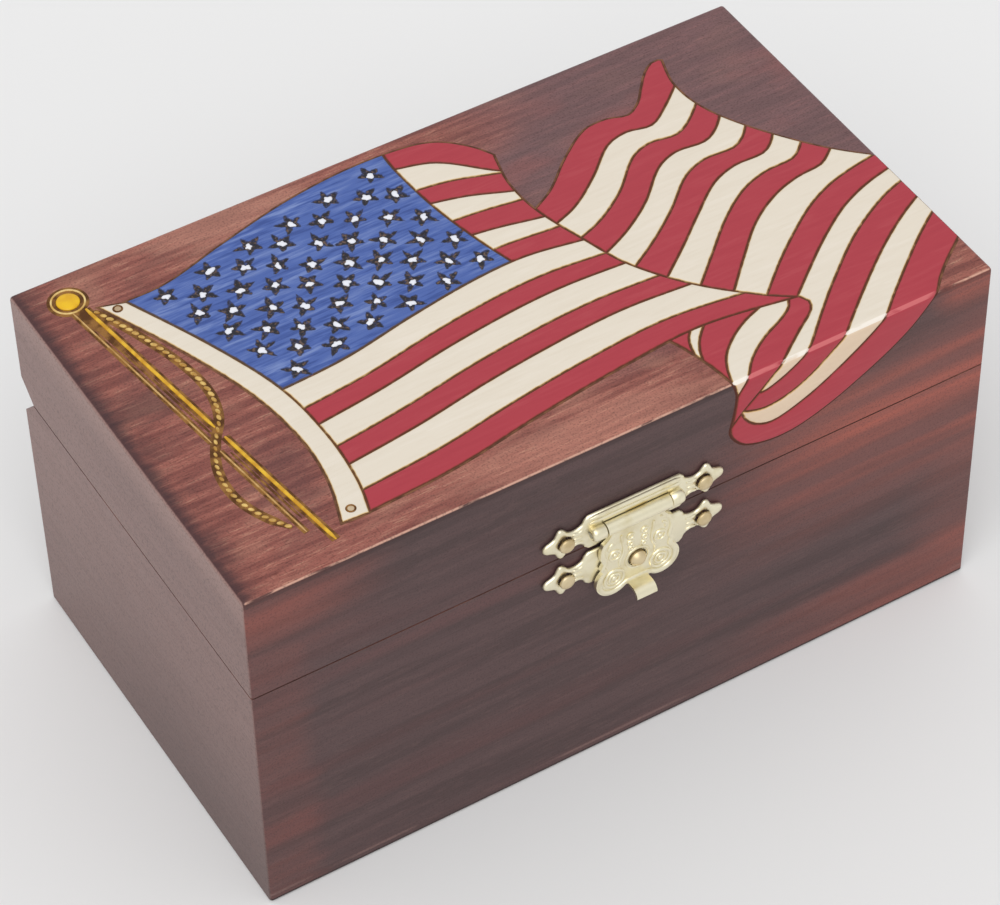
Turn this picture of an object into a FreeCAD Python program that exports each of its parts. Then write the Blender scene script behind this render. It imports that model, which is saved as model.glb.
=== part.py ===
"""Hinged wooden keepsake box with a pressed-brass hasp latch.

Frame: millimetres, +X along the box to its right end, +Y to its back, +Z up.
The origin is the middle of the underside, so the box stands on Z = 0.

The box is glued up closed, from four mitred walls and thin top and bottom boards, and is then
sawn round at the seam. Both back rims are bevelled at 45 degrees. The two bevels form a groove
that holds the hinge knuckles, and they close on each other as the stop of the open lid.
"""
import FreeCAD
import Part

import math
import os

from FreeCAD import Vector

# Box: overall sizes
BOX_LENGTH = 152.0
BOX_DEPTH = 87.0
BOX_HEIGHT = 80.0
LID_HEIGHT = 24.0         # from the middle of the saw cut to the top
SAW_GAP = 0.3             # width of the saw cut

# Box: boards
WALL = 10.0
TOP_BOARD = 2.8
BOTTOM_BOARD = 2.4
BACK_BEVEL = 4.6          # both legs of the 45 degree bevel on each back rim
CORNER_EASE = 0.6         # radius on the upright outer corners
TOP_EASE = 0.9            # radius round the lid's upper edge
BOTTOM_EASE = 0.5         # both legs of the bevel round the underside's edge

# Butt hinges, two along the back
HINGE_INSET = 30.0        # from an end of the box to a hinge's middle
HINGE_LENGTH = 16.0
LEAF_THICKNESS = 0.8
LEAF_MARGIN = 0.4         # of wood left between a leaf and the inside of the box
KNUCKLE_RADIUS = 1.5
HINGE_PIN_RADIUS = 0.7
MIDDLE_KNUCKLE = 8.0      # length of the knuckle on the lid's leaf
PIN_STANDOUT = 0.3        # of a hinge pin from its outer knuckles
HINGE_NAIL_SPACING = 9.0

# Cut nails, square and tapering below their round heads
NAIL_TIP_HALF = 0.15
HINGE_NAIL_HALF = 0.38    # half-width of the shank under the head
HINGE_NAIL_HEAD_RADIUS = 0.85
HINGE_NAIL_LENGTH = 6.5   # from the leaf to the tip
LATCH_NAIL_HALF = 0.55    # half-width of the shank under the head
LATCH_NAIL_HEAD_RADIUS = 1.5
LATCH_NAIL_HEAD = 1.1     # how far a head stands on its plate
LATCH_NAIL_LENGTH = 8.0   # from the head to the tip

# Latch: the two fretted plates, alike in outline
PLATE_THICKNESS = 1.1
HINGE_PLATE_MARGIN = 0.15  # from the saw cut to the upper plate
CATCH_PLATE_MARGIN = 0.8   # from the saw cut to the lower plate
PLATE_HALF_HEIGHT = 4.0
PLATE_LUG_MARGIN = 0.85   # from an eye to the end of the plain middle
SHOULDER_RUN = 0.9        # length of the slope from the middle to a neck
NECK_LENGTH = 1.8
NECK_HALF = 1.9
FINIAL_ROOT = 2.1         # from a neck to the finial's upper and lower points
FINIAL_LOBE_HALF = 3.4    # height of those points over the plate's middle
FINIAL_NOSE = 3.3         # from those points to the tip
FINIAL_HOLLOW = 0.55      # depth of the hollow curves beside the points
POINT_EASE = 0.3          # cut off the finials' points
NAIL_SETBACK = 0.9        # from a finial's points back to its nail
MOULDING_HEIGHT = 0.3     # pressed band along the hinge plate's upper edge
MOULDING_HALF = 1.0       # half-width of the band at its foot
MOULDING_SLOPE = 0.25     # by which each side of the band leans in
MOULDING_INSET = 1.15     # from the plate's upper edge to the band's middle

# Latch: hinge of the hasp
HASP_KNUCKLE_RADIUS = 1.5
HASP_KNUCKLE_HALF = 6.6
HASP_KNUCKLE_STANDOFF = 0.2  # between the knuckle and the front face, through the plate's window
LUG_LENGTH = 2.8
HASP_PIN_RADIUS = 0.6

# Latch: the hasp, measured down from its pin and out from the middle
HASP_THICKNESS = 0.6
HASP_NECK_HALF = 5.1
HASP_SHOULDER_HALF = 7.2
HASP_SHOULDER_TOP = 3.6
HASP_SHOULDER_BOTTOM = 8.6
HASP_SHOULDER_BULGE = 0.6
HASP_EAR_HALF = 7.8
HASP_EAR_DROP = 9.8
HASP_WAIST_HALF = 7.3
HASP_WAIST_DROP = 10.7
HASP_LOBE_X = 4.9         # middle of a lower lobe
HASP_LOBE_DROP = 13.8
HASP_LOBE_RADIUS = 3.55
HASP_FOOT_HALF = 2.6      # half-length of the straight foot that carries the pull
HASP_FOOT_DROP = 16.2
RIM_WIDTH = 0.7           # pressed rim along the hasp's edge
RIM_HEIGHT = 0.25

# Latch: the pull at the hasp's foot
PULL_HALF_WIDTH = 2.1
PULL_BEND_RADIUS = 0.8    # of the sheet's middle line, as the curl's
PULL_RUN = 1.3            # straight length between the bend and the curl
PULL_CURL_RADIUS = 1.4

# Latch: the stud that the hasp drops over
STUD_RADIUS = 1.6
STUD_DROP = 1.4           # of the stud below the catch plate's middle
STUD_RIVET_RADIUS = 0.9
STUD_STRAIGHT = 1.3       # from the catch plate to where the dome starts
STUD_DOME = 1.1

# Clearances
RUNNING = 0.05            # on the radius of a pin in its knuckle
NAIL_CLEARANCE = 0.03     # on the radius of a nail in its hole
STUD_CLEARANCE = 0.35     # on the radius of the stud in the hasp's hole
END_PLAY = 0.15           # between knuckles, along the pin
SWING_CLEARANCE = 0.25    # round whatever turns on a pin
SEAT_CLEARANCE = 0.05     # round a leaf in its recess

# Derived positions
FRONT = -BOX_DEPTH / 2
BACK = BOX_DEPTH / 2
SEAM_HEIGHT = BOX_HEIGHT - LID_HEIGHT
BASE_RIM = SEAM_HEIGHT - SAW_GAP / 2
LID_RIM = SEAM_HEIGHT + SAW_GAP / 2
LID_TOP_UNDERSIDE = BOX_HEIGHT - TOP_BOARD
HINGE_Y = BACK - BACK_BEVEL
LEAF_REACH = WALL - BACK_BEVEL - LEAF_MARGIN
HINGE_PLATE_Z = LID_RIM + HINGE_PLATE_MARGIN + PLATE_HALF_HEIGHT
CATCH_PLATE_Z = BASE_RIM - CATCH_PLATE_MARGIN - PLATE_HALF_HEIGHT
PLATE_FACE = FRONT - PLATE_THICKNESS
HASP_PIN_Y = FRONT - HASP_KNUCKLE_STANDOFF - HASP_KNUCKLE_RADIUS
HASP_PIN_Z = HINGE_PLATE_Z
STUD_Z = CATCH_PLATE_Z - STUD_DROP
HASP_HOLE_DROP = HASP_PIN_Z - STUD_Z
LUG_INNER = HASP_KNUCKLE_HALF + END_PLAY
LUG_OUTER = LUG_INNER + LUG_LENGTH
PLATE_BODY_HALF = LUG_OUTER + PLATE_LUG_MARGIN
NECK_START = PLATE_BODY_HALF + SHOULDER_RUN
NECK_END = NECK_START + NECK_LENGTH
FINIAL_LOBE_X = NECK_END + FINIAL_ROOT
FINIAL_TIP = FINIAL_LOBE_X + FINIAL_NOSE
LATCH_NAIL_X = FINIAL_LOBE_X - NAIL_SETBACK

X_AXIS = Vector(1, 0, 0)
Y_AXIS = Vector(0, 1, 0)
Z_AXIS = Vector(0, 0, 1)
OUTWARD = -Y_AXIS         # away from the front face


# Basic shapes

def block(x0, x1, y0, y1, z0, z1):
    """A box between two corners."""
    return Part.makeBox(x1 - x0, y1 - y0, z1 - z0, Vector(x0, y0, z0))


def rod_along_x(x0, x1, y, z, radius):
    """A cylinder along X."""
    return Part.makeCylinder(radius, x1 - x0, Vector(x0, y, z), X_AXIS)


def prism_along_x(points, x0, x1):
    """A prism along X whose section is a polygon of (y, z) points."""
    corners = [Vector(x0, y, z) for y, z in points]
    section = Part.Face(Part.makePolygon(corners + corners[:1]))
    return section.extrude(Vector(x1 - x0, 0, 0))


def turned(profile):
    """A solid turned about Z from (radius, height) points."""
    points = [Vector(radius, 0, height) for radius, height in profile]
    section = Part.Face(Part.makePolygon(points + points[:1]))
    return section.revolve(Vector(), Z_AXIS, 360)


def square_taper(root, tip, top, length):
    """A square shank below a height, tapering from one half-width to another."""
    shank = Part.makeWedge(-root, 0, -root, -tip, -tip, root, length, root, tip, tip)
    shank.Placement = FreeCAD.Placement(Vector(0, 0, top), FreeCAD.Rotation(Y_AXIS, -Z_AXIS))
    return shank


def crown(radius, height, base):
    """A low dome standing on a height: the cap of a sphere."""
    sphere = (radius ** 2 + height ** 2) / (2 * height)
    latitude = math.degrees(math.asin(1 - height / sphere))
    centre = Vector(0, 0, base + height - sphere)
    return Part.makeSphere(sphere, centre, Z_AXIS, latitude, 90, 360)


def placed(solid, centre, axis):
    """Moves a solid made about Z, with its Z turned to an axis."""
    solid.Placement = FreeCAD.Placement(centre, FreeCAD.Rotation(Z_AXIS, axis)).multiply(solid.Placement)
    return solid


def arc(start, middle, end):
    """An edge along the circle through three points."""
    return Part.Arc(start, middle, end).toShape()


def line(start, end):
    return Part.LineSegment(start, end).toShape()


def edges_along(shape, axis, chosen):
    """The straight edges along an axis whose middle point is chosen."""
    found = []
    for edge in shape.Edges:
        if not isinstance(edge.Curve, Part.Line):
            continue
        along = abs(edge.tangentAt(edge.FirstParameter).dot(axis)) > 0.999
        if along and chosen(edge.BoundBox.Center):
            found.append(edge)
    return found


# Wooden boards

def is_outer_corner(point):
    return abs(point.x) > BOX_LENGTH / 2 - WALL / 2 and abs(point.y) > BACK - WALL / 2


def full_board(z0, z1):
    """A board over the whole footprint, with its upright corners eased."""
    board = block(-BOX_LENGTH / 2, BOX_LENGTH / 2, FRONT, BACK, z0, z1)
    corners = edges_along(board, Z_AXIS, is_outer_corner)
    return board.makeFillet(CORNER_EASE, corners)


def outline_at(board, height):
    """The edges of a board that lie at one height."""
    return [edge for edge in board.Edges if abs(edge.BoundBox.ZMin - height) < 1e-6
            and abs(edge.BoundBox.ZMax - height) < 1e-6]


def lid_top():
    board = full_board(LID_TOP_UNDERSIDE, BOX_HEIGHT)
    return board.makeFillet(TOP_EASE, outline_at(board, BOX_HEIGHT))


def bottom_board():
    board = full_board(0, BOTTOM_BOARD)
    return board.makeChamfer(BOTTOM_EASE, outline_at(board, 0))


def hinge_groove():
    """The groove that the bevels of the two back rims form, right along the box."""
    beyond = BACK + BACK_BEVEL
    section = [
        (HINGE_Y, BASE_RIM),
        (beyond, BASE_RIM - 2 * BACK_BEVEL),
        (beyond, LID_RIM + 2 * BACK_BEVEL),
        (HINGE_Y, LID_RIM),
    ]
    return prism_along_x(section, -BOX_LENGTH, BOX_LENGTH)


def wall_ring(z0, z1):
    """The four walls in one piece, between two heights."""
    inner_x = BOX_LENGTH / 2 - WALL
    inner_y = BACK - WALL
    hollow = block(-inner_x, inner_x, -inner_y, inner_y, z0 - WALL, z1 + WALL)
    return full_board(z0, z1).cut(hollow).cut(hinge_groove())


def mitre_wedges():
    """The space that each wall takes up, bounded by the 45 degree mitres."""
    half_length = BOX_LENGTH / 2
    ridge = half_length - BACK
    plans = {
        "front": [(-half_length, FRONT), (half_length, FRONT), (ridge, 0), (-ridge, 0)],
        "back": [(-half_length, BACK), (half_length, BACK), (ridge, 0), (-ridge, 0)],
        "left": [(-half_length, FRONT), (-half_length, BACK), (-ridge, 0)],
        "right": [(half_length, FRONT), (half_length, BACK), (ridge, 0)],
    }
    wedges = {}
    for side, plan in plans.items():
        corners = [Vector(x, y, 0) for x, y in plan]
        outline = Part.Face(Part.makePolygon(corners + corners[:1]))
        wedges[side] = outline.extrude(Vector(0, 0, BOX_HEIGHT))
    return wedges


def mitred_walls(z0, z1):
    """The four walls as separate boards, mitred at the corners."""
    ring = wall_ring(z0, z1)
    return {side: ring.common(wedge) for side, wedge in mitre_wedges().items()}


# Butt hinges

def hinge_middles():
    middle = BOX_LENGTH / 2 - HINGE_INSET
    return [("left", -middle), ("right", middle)]


def hinge_nail_places(middle):
    """Where the nails of one leaf are, as (x, y)."""
    y = HINGE_Y - (LEAF_REACH + KNUCKLE_RADIUS) / 2
    return [(middle + side * HINGE_NAIL_SPACING / 2, y) for side in (-1, 1)]


def hinge_nail(x, y, up, clearance=0.0):
    """A cut nail with its head countersunk flush in a leaf, driven up into the lid or down into the base."""
    neck = HINGE_NAIL_HALF * math.sqrt(2) + clearance
    profile = [
        (0, 0),
        (HINGE_NAIL_HEAD_RADIUS + clearance, 0),
        (neck, -LEAF_THICKNESS),
        (0, -LEAF_THICKNESS),
    ]
    shank = square_taper(HINGE_NAIL_HALF + clearance, NAIL_TIP_HALF + clearance,
                         -LEAF_THICKNESS, HINGE_NAIL_LENGTH)
    head_face = Vector(x, y, LID_RIM if up else BASE_RIM)
    return placed(turned(profile).fuse(shank), head_face, -Z_AXIS if up else Z_AXIS)


def leaf_slab(middle, up, margin=0.0):
    """The flat of one leaf, let into the rim that it is nailed to."""
    half = HINGE_LENGTH / 2 + margin
    z0, z1 = (LID_RIM, LID_RIM + LEAF_THICKNESS) if up else (BASE_RIM - LEAF_THICKNESS, BASE_RIM)
    return block(middle - half, middle + half, HINGE_Y - LEAF_REACH - margin, HINGE_Y, z0, z1)


def knuckle_spans(middle, up):
    """Where one leaf has its knuckles along the pin: one in the middle or two outside it."""
    if up:
        half = MIDDLE_KNUCKLE / 2 - END_PLAY
        return [(middle - half, middle + half)]
    inner = MIDDLE_KNUCKLE / 2
    outer = HINGE_LENGTH / 2
    return [(middle - outer, middle - inner), (middle + inner, middle + outer)]


def hinge_leaf(middle, up):
    """One leaf with its knuckles, bored for the pin and the nails."""
    leaf = leaf_slab(middle, up)
    swing = KNUCKLE_RADIUS + SWING_CLEARANCE
    for x0, x1 in knuckle_spans(middle, not up):
        leaf = leaf.cut(block(x0 - END_PLAY, x1 + END_PLAY, HINGE_Y - swing, BACK, 0, BOX_HEIGHT))
    for x0, x1 in knuckle_spans(middle, up):
        leaf = leaf.fuse(rod_along_x(x0, x1, HINGE_Y, SEAM_HEIGHT, KNUCKLE_RADIUS))
    leaf = leaf.cut(rod_along_x(middle - HINGE_LENGTH, middle + HINGE_LENGTH, HINGE_Y, SEAM_HEIGHT,
                                HINGE_PIN_RADIUS + RUNNING))
    for x, y in hinge_nail_places(middle):
        leaf = leaf.cut(hinge_nail(x, y, up, NAIL_CLEARANCE))
    return leaf.removeSplitter()


def hinge_pin(middle):
    """The pin of one hinge, a cut length of wire."""
    half = HINGE_LENGTH / 2 + PIN_STANDOUT
    return rod_along_x(middle - half, middle + half, HINGE_Y, SEAM_HEIGHT, HINGE_PIN_RADIUS)


def let_in_hinges(wall, up):
    """Cuts the leaf recesses, knuckle pockets and nail holes in a back wall."""
    for _, middle in hinge_middles():
        half = HINGE_LENGTH / 2 + PIN_STANDOUT + SWING_CLEARANCE
        wall = wall.cut(leaf_slab(middle, up, SEAT_CLEARANCE))
        wall = wall.cut(rod_along_x(middle - half, middle + half, HINGE_Y, SEAM_HEIGHT,
                                    KNUCKLE_RADIUS + SWING_CLEARANCE))
        for x, y in hinge_nail_places(middle):
            wall = wall.cut(hinge_nail(x, y, up, NAIL_CLEARANCE))
    return wall


def hinge_nails(up):
    nails = [hinge_nail(x, y, up) for _, middle in hinge_middles() for x, y in hinge_nail_places(middle)]
    return Part.makeCompound(nails)


# Latch plates

def hollow_arc(start, end, inward):
    """An arc between two points that dips by the finial's hollow towards inward."""
    middle = (start + end) * 0.5
    chord = end - start
    normal = Vector(chord.z, 0, -chord.x).normalize()
    if normal.dot(inward) < 0:
        normal = -normal
    return arc(start, middle + normal * FINIAL_HOLLOW, end)


def plate_quarter(side, rise):
    """The outline of a quarter of a plate, from the middle of its long edge to a finial's tip."""
    def at(x, z):
        return Vector(side * x, 0, rise * z)

    edge_middle = at(0, PLATE_HALF_HEIGHT)
    corner = at(PLATE_BODY_HALF, PLATE_HALF_HEIGHT)
    neck_start = at(NECK_START, NECK_HALF)
    neck_end = at(NECK_END, NECK_HALF)
    lobe = at(FINIAL_LOBE_X, FINIAL_LOBE_HALF)
    tip = at(FINIAL_TIP, 0)
    return [
        line(edge_middle, corner),
        line(corner, neck_start),
        line(neck_start, neck_end),
        hollow_arc(neck_end, lobe, at(1, -1)),
        hollow_arc(lobe, tip, at(-1, -1)),
    ]


def is_finial_point(point):
    return abs(point.x) > FINIAL_LOBE_X - POINT_EASE


def latch_plate(middle_z):
    """A flat fretted plate on the front face, with a pointed finial at each end."""
    edges = []
    for side in (-1, 1):
        for rise in (-1, 1):
            edges += plate_quarter(side, rise)
    outline = Part.Wire(Part.__sortEdges__(edges))
    plate = Part.Face(outline).extrude(OUTWARD * PLATE_THICKNESS)
    plate = plate.makeChamfer(POINT_EASE, edges_along(plate, OUTWARD, is_finial_point))
    plate.translate(Vector(0, FRONT, middle_z))
    for x in latch_nail_places():
        plate = plate.cut(latch_nail(x, middle_z, NAIL_CLEARANCE))
    return plate


def latch_nail_places():
    return [-LATCH_NAIL_X, LATCH_NAIL_X]


def latch_nail(x, z, clearance=0.0):
    """A cut nail whose round head stands on a latch plate."""
    head = Part.makeCylinder(LATCH_NAIL_HEAD_RADIUS + clearance, LATCH_NAIL_HEAD)
    shank = square_taper(LATCH_NAIL_HALF + clearance, NAIL_TIP_HALF + clearance, 0, LATCH_NAIL_LENGTH)
    return placed(head.fuse(shank), Vector(x, PLATE_FACE, z), OUTWARD)


def latch_nails(z):
    return Part.makeCompound([latch_nail(x, z) for x in latch_nail_places()])


def drill_latch_nails(wall, z):
    for x in latch_nail_places():
        wall = wall.cut(latch_nail(x, z, NAIL_CLEARANCE))
    return wall


def hinge_lug(x0, x1):
    """One of the two eyes on the hinge plate that carry the hasp's pin."""
    eye = rod_along_x(x0, x1, HASP_PIN_Y, HASP_PIN_Z, HASP_KNUCKLE_RADIUS)
    foot = block(x0, x1, HASP_PIN_Y, PLATE_FACE,
                 HASP_PIN_Z - HASP_KNUCKLE_RADIUS, HASP_PIN_Z + HASP_KNUCKLE_RADIUS)
    return eye.fuse(foot)


def moulding():
    """The pressed band along the hinge plate's upper edge, with sloping sides."""
    middle = HINGE_PLATE_Z + PLATE_HALF_HEIGHT - MOULDING_INSET
    crest = MOULDING_HALF - MOULDING_SLOPE
    top = PLATE_FACE - MOULDING_HEIGHT
    section = [
        (PLATE_FACE, middle - MOULDING_HALF),
        (top, middle - crest),
        (top, middle + crest),
        (PLATE_FACE, middle + MOULDING_HALF),
    ]
    half_length = PLATE_BODY_HALF - MOULDING_INSET
    return prism_along_x(section, -half_length, half_length)


def hinge_plate():
    """The plate on the lid, with its pressed band, the two eyes and a window for the hasp's knuckle."""
    plate = latch_plate(HINGE_PLATE_Z).fuse(moulding())
    swing = HASP_KNUCKLE_RADIUS + SWING_CLEARANCE
    plate = plate.cut(block(-LUG_INNER, LUG_INNER, PLATE_FACE, FRONT, HASP_PIN_Z - swing, HASP_PIN_Z + swing))
    for x0, x1 in ((-LUG_OUTER, -LUG_INNER), (LUG_INNER, LUG_OUTER)):
        plate = plate.fuse(hinge_lug(x0, x1))
    plate = plate.cut(rod_along_x(-FINIAL_TIP, FINIAL_TIP, HASP_PIN_Y, HASP_PIN_Z, HASP_PIN_RADIUS + RUNNING))
    return plate.removeSplitter()


def hasp_pin():
    return rod_along_x(-LUG_OUTER, LUG_OUTER, HASP_PIN_Y, HASP_PIN_Z, HASP_PIN_RADIUS)


def catch_plate():
    """The plate on the base, pierced for the rivet of the stud."""
    hole = Part.makeCylinder(STUD_RIVET_RADIUS + NAIL_CLEARANCE, PLATE_THICKNESS,
                             Vector(0, FRONT, STUD_Z), OUTWARD)
    return latch_plate(CATCH_PLATE_Z).cut(hole)


def stud():
    """The domed stud, riveted through the catch plate."""
    profile = [
        (0, STUD_STRAIGHT),
        (STUD_RADIUS, STUD_STRAIGHT),
        (STUD_RADIUS, 0),
        (STUD_RIVET_RADIUS, 0),
        (STUD_RIVET_RADIUS, -PLATE_THICKNESS),
        (0, -PLATE_THICKNESS),
    ]
    solid = turned(profile).fuse(crown(STUD_RADIUS, STUD_DOME, STUD_STRAIGHT)).removeSplitter()
    return placed(solid, Vector(0, PLATE_FACE, STUD_Z), OUTWARD)


# Hasp

def hasp_half(side):
    """Half of the hasp's outline, from its neck at the knuckle down to the middle of its foot."""
    def at(out, drop):
        return Vector(side * out, 0, -drop)

    neck = at(HASP_NECK_HALF, 0)
    shoulder = at(HASP_SHOULDER_HALF, HASP_SHOULDER_TOP)
    under_shoulder = at(HASP_SHOULDER_HALF, HASP_SHOULDER_BOTTOM)
    ear = at(HASP_EAR_HALF, HASP_EAR_DROP)
    waist = at(HASP_WAIST_HALF, HASP_WAIST_DROP)
    foot = at(HASP_FOOT_HALF, HASP_FOOT_DROP)
    flare = at((HASP_NECK_HALF * 2 + HASP_SHOULDER_HALF) / 3, HASP_SHOULDER_TOP * 2 / 3)
    bulge = at(HASP_SHOULDER_HALF + HASP_SHOULDER_BULGE, (HASP_SHOULDER_TOP + HASP_SHOULDER_BOTTOM) / 2)
    diagonal = HASP_LOBE_RADIUS * math.sqrt(0.5)
    lobe = at(HASP_LOBE_X + diagonal, HASP_LOBE_DROP + diagonal)
    return [
        arc(neck, flare, shoulder),
        arc(shoulder, bulge, under_shoulder),
        line(under_shoulder, ear),
        line(ear, waist),
        arc(waist, lobe, foot),
        line(foot, at(0, HASP_FOOT_DROP)),
    ]


def hasp_outline():
    """The hasp's flat outline below its pin, as a face in the XZ plane."""
    neck = line(Vector(-HASP_NECK_HALF, 0, 0), Vector(HASP_NECK_HALF, 0, 0))
    edges = [neck] + hasp_half(1) + hasp_half(-1)
    return Part.Face(Part.Wire(Part.__sortEdges__(edges)))


def hasp_rim():
    """The pressed rim that follows the hasp's edge, below the knuckle."""
    outline = hasp_outline()
    ring = outline.cut(outline.makeOffset2D(-RIM_WIDTH))
    rim = ring.extrude(OUTWARD * RIM_HEIGHT)
    rim.translate(OUTWARD * (HASP_THICKNESS / 2))
    knuckle_room = block(-BOX_LENGTH, BOX_LENGTH, FRONT, BACK, -HASP_KNUCKLE_RADIUS, BOX_HEIGHT)
    return rim.cut(knuckle_room)


def pull():
    """The finger pull: a strip bent out from the hasp's foot and curled straight down to its tip."""
    half = HASP_THICKNESS / 2
    bend_z = PULL_BEND_RADIUS - HASP_FOOT_DROP
    curl_y = -PULL_BEND_RADIUS - PULL_RUN
    curl_z = -HASP_FOOT_DROP - PULL_CURL_RADIUS

    def on_bend(radius, angle):
        return Vector(0, radius * math.cos(angle) - PULL_BEND_RADIUS, bend_z - radius * math.sin(angle))

    def on_curl(radius, angle):
        return Vector(0, curl_y - radius * math.sin(angle), curl_z + radius * math.cos(angle))

    root = Vector(0, 0, RIM_WIDTH + HASP_THICKNESS)
    quarters = [0, math.pi / 4, math.pi / 2]
    inner = [on_bend(PULL_BEND_RADIUS - half, angle) for angle in quarters]
    outer = [on_bend(PULL_BEND_RADIUS + half, angle) for angle in quarters]
    upper = [on_curl(PULL_CURL_RADIUS + half, angle) for angle in quarters]
    lower = [on_curl(PULL_CURL_RADIUS - half, angle) for angle in quarters]
    edges = [
        line(inner[0] + root, inner[0]),
        arc(*inner),
        line(inner[2], upper[0]),
        arc(*upper),
        line(upper[2], lower[2]),
        arc(*reversed(lower)),
        line(lower[0], outer[2]),
        arc(*reversed(outer)),
        line(outer[0], outer[0] + root),
        line(outer[0] + root, inner[0] + root),
    ]
    section = Part.Face(Part.Wire(edges))
    strip = section.extrude(X_AXIS * (2 * PULL_HALF_WIDTH))
    strip.translate(X_AXIS * -PULL_HALF_WIDTH)
    return strip


def hasp():
    """The swinging hasp: knuckle, pressed sheet with a hole for the stud, rim and pull."""
    sheet = hasp_outline().extrude(OUTWARD * HASP_THICKNESS)
    sheet.translate(OUTWARD * (-HASP_THICKNESS / 2))
    knuckle = rod_along_x(-HASP_KNUCKLE_HALF, HASP_KNUCKLE_HALF, 0, 0, HASP_KNUCKLE_RADIUS)
    solid = sheet.fuse([hasp_rim(), pull(), knuckle])
    solid = solid.cut(rod_along_x(-BOX_LENGTH, BOX_LENGTH, 0, 0, HASP_PIN_RADIUS + RUNNING))
    hole = Part.makeCylinder(STUD_RADIUS + STUD_CLEARANCE, 2 * HASP_THICKNESS,
                             Vector(0, HASP_THICKNESS, -HASP_HOLE_DROP), OUTWARD)
    solid = solid.cut(hole).removeSplitter()
    solid.translate(Vector(0, HASP_PIN_Y, HASP_PIN_Z))
    return solid


# Assembly

def wooden_parts():
    base = mitred_walls(BOTTOM_BOARD, BASE_RIM)
    lid = mitred_walls(LID_RIM, LID_TOP_UNDERSIDE)
    base["back"] = let_in_hinges(base["back"], up=False)
    lid["back"] = let_in_hinges(lid["back"], up=True)
    base["front"] = drill_latch_nails(base["front"], CATCH_PLATE_Z)
    lid["front"] = drill_latch_nails(lid["front"], HINGE_PLATE_Z)
    parts = {"bottom_board": bottom_board(), "lid_top_board": lid_top()}
    for side in base:
        parts[f"base_{side}_wall"] = base[side]
        parts[f"lid_{side}_wall"] = lid[side]
    return parts


def hinge_parts():
    parts = {"hinge_base_nails": hinge_nails(up=False), "hinge_lid_nails": hinge_nails(up=True)}
    for side, middle in hinge_middles():
        parts[f"{side}_hinge_base_leaf"] = hinge_leaf(middle, up=False)
        parts[f"{side}_hinge_lid_leaf"] = hinge_leaf(middle, up=True)
        parts[f"{side}_hinge_pin"] = hinge_pin(middle)
    return parts


def latch_parts():
    return {
        "latch_hinge_plate": hinge_plate(),
        "latch_hinge_pin": hasp_pin(),
        "latch_hinge_plate_nails": latch_nails(HINGE_PLATE_Z),
        "latch_hasp": hasp(),
        "latch_catch_plate": catch_plate(),
        "latch_catch_stud": stud(),
        "latch_catch_plate_nails": latch_nails(CATCH_PLATE_Z),
    }


def main():
    os.makedirs("parts", exist_ok=True)
    parts = {**wooden_parts(), **hinge_parts(), **latch_parts()}
    for name, shape in parts.items():
        print(f"{name}: {len(shape.Solids)} solid(s), {shape.Volume:.1f} mm3, valid {shape.isValid()}")
        shape.exportStep(os.path.join("parts", name + ".step"))


main()
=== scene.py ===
import math
import random

import bmesh
import bpy
import numpy as np
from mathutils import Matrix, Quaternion, Vector
from mathutils.geometry import delaunay_2d_cdt, intersect_line_line_2d


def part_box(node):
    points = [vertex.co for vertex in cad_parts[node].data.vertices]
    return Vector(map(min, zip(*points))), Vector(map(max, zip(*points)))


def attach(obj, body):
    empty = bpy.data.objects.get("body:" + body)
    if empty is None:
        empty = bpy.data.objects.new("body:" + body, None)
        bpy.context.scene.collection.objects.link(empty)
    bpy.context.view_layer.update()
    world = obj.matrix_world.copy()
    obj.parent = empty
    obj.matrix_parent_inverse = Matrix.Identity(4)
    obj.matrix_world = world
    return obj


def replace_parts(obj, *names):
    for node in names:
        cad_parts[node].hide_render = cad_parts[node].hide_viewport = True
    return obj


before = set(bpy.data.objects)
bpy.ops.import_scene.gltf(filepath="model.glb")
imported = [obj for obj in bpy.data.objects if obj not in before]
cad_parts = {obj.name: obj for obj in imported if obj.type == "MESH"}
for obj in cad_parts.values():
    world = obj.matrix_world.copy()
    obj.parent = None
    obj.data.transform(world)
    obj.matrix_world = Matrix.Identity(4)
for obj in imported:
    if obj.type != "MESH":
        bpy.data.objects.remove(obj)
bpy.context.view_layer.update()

# Sizes of the drawing on the lid are in millimetres, everything handed to Blender is in metres
MM = 0.001
LID_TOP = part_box("lid_top_board")[1][2] / MM
LID_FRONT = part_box("lid_front_wall")[0][1] / MM
LID_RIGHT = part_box("lid_top_board")[1][0] / MM
LID_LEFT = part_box("lid_top_board")[0][0] / MM
ARRIS_RADIUS = 0.9
BEND_STEPS = 6
SEED = 17
SHARP_ANGLE = math.radians(66)

# The camera, at the photograph's angle
CAMERA_PLACE = Vector((-0.25377, -0.43344, 0.55607))
CAMERA_DIRECTION = Vector((0.35002, 0.60024, -0.71916))
CAMERA_ROLL = math.radians(-1.3256)
SENSOR_WIDTH = 36.0
LENS = 139.97

# The light: an even pale surround and one soft lamp
SURROUND_STRENGTH = 0.72
LAMP_STRENGTH = 1.15
LAMP_SPREAD = math.radians(50)
LAMP_TILT = (math.radians(28), math.radians(-24), 0.0)
FLOOR_SIDE = 6.0

# The cut line round each painted field: distance from its middle, height above the wood, share of burn
SHOULDER = (
    (0.0, 0.03, 1.0),
    (0.14, 0.03, 1.0),
    (0.21, 0.15, 0.85),
    (0.31, 0.24, 0.4),
    (0.48, 0.29, 0.1),
    (0.78, 0.31, 0.0),
)
FIELD_SINK = 0.04
POINT_SPACING = 1.4
POINT_MERGE = 0.001
CORNER_HOLD = 0.5

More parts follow.
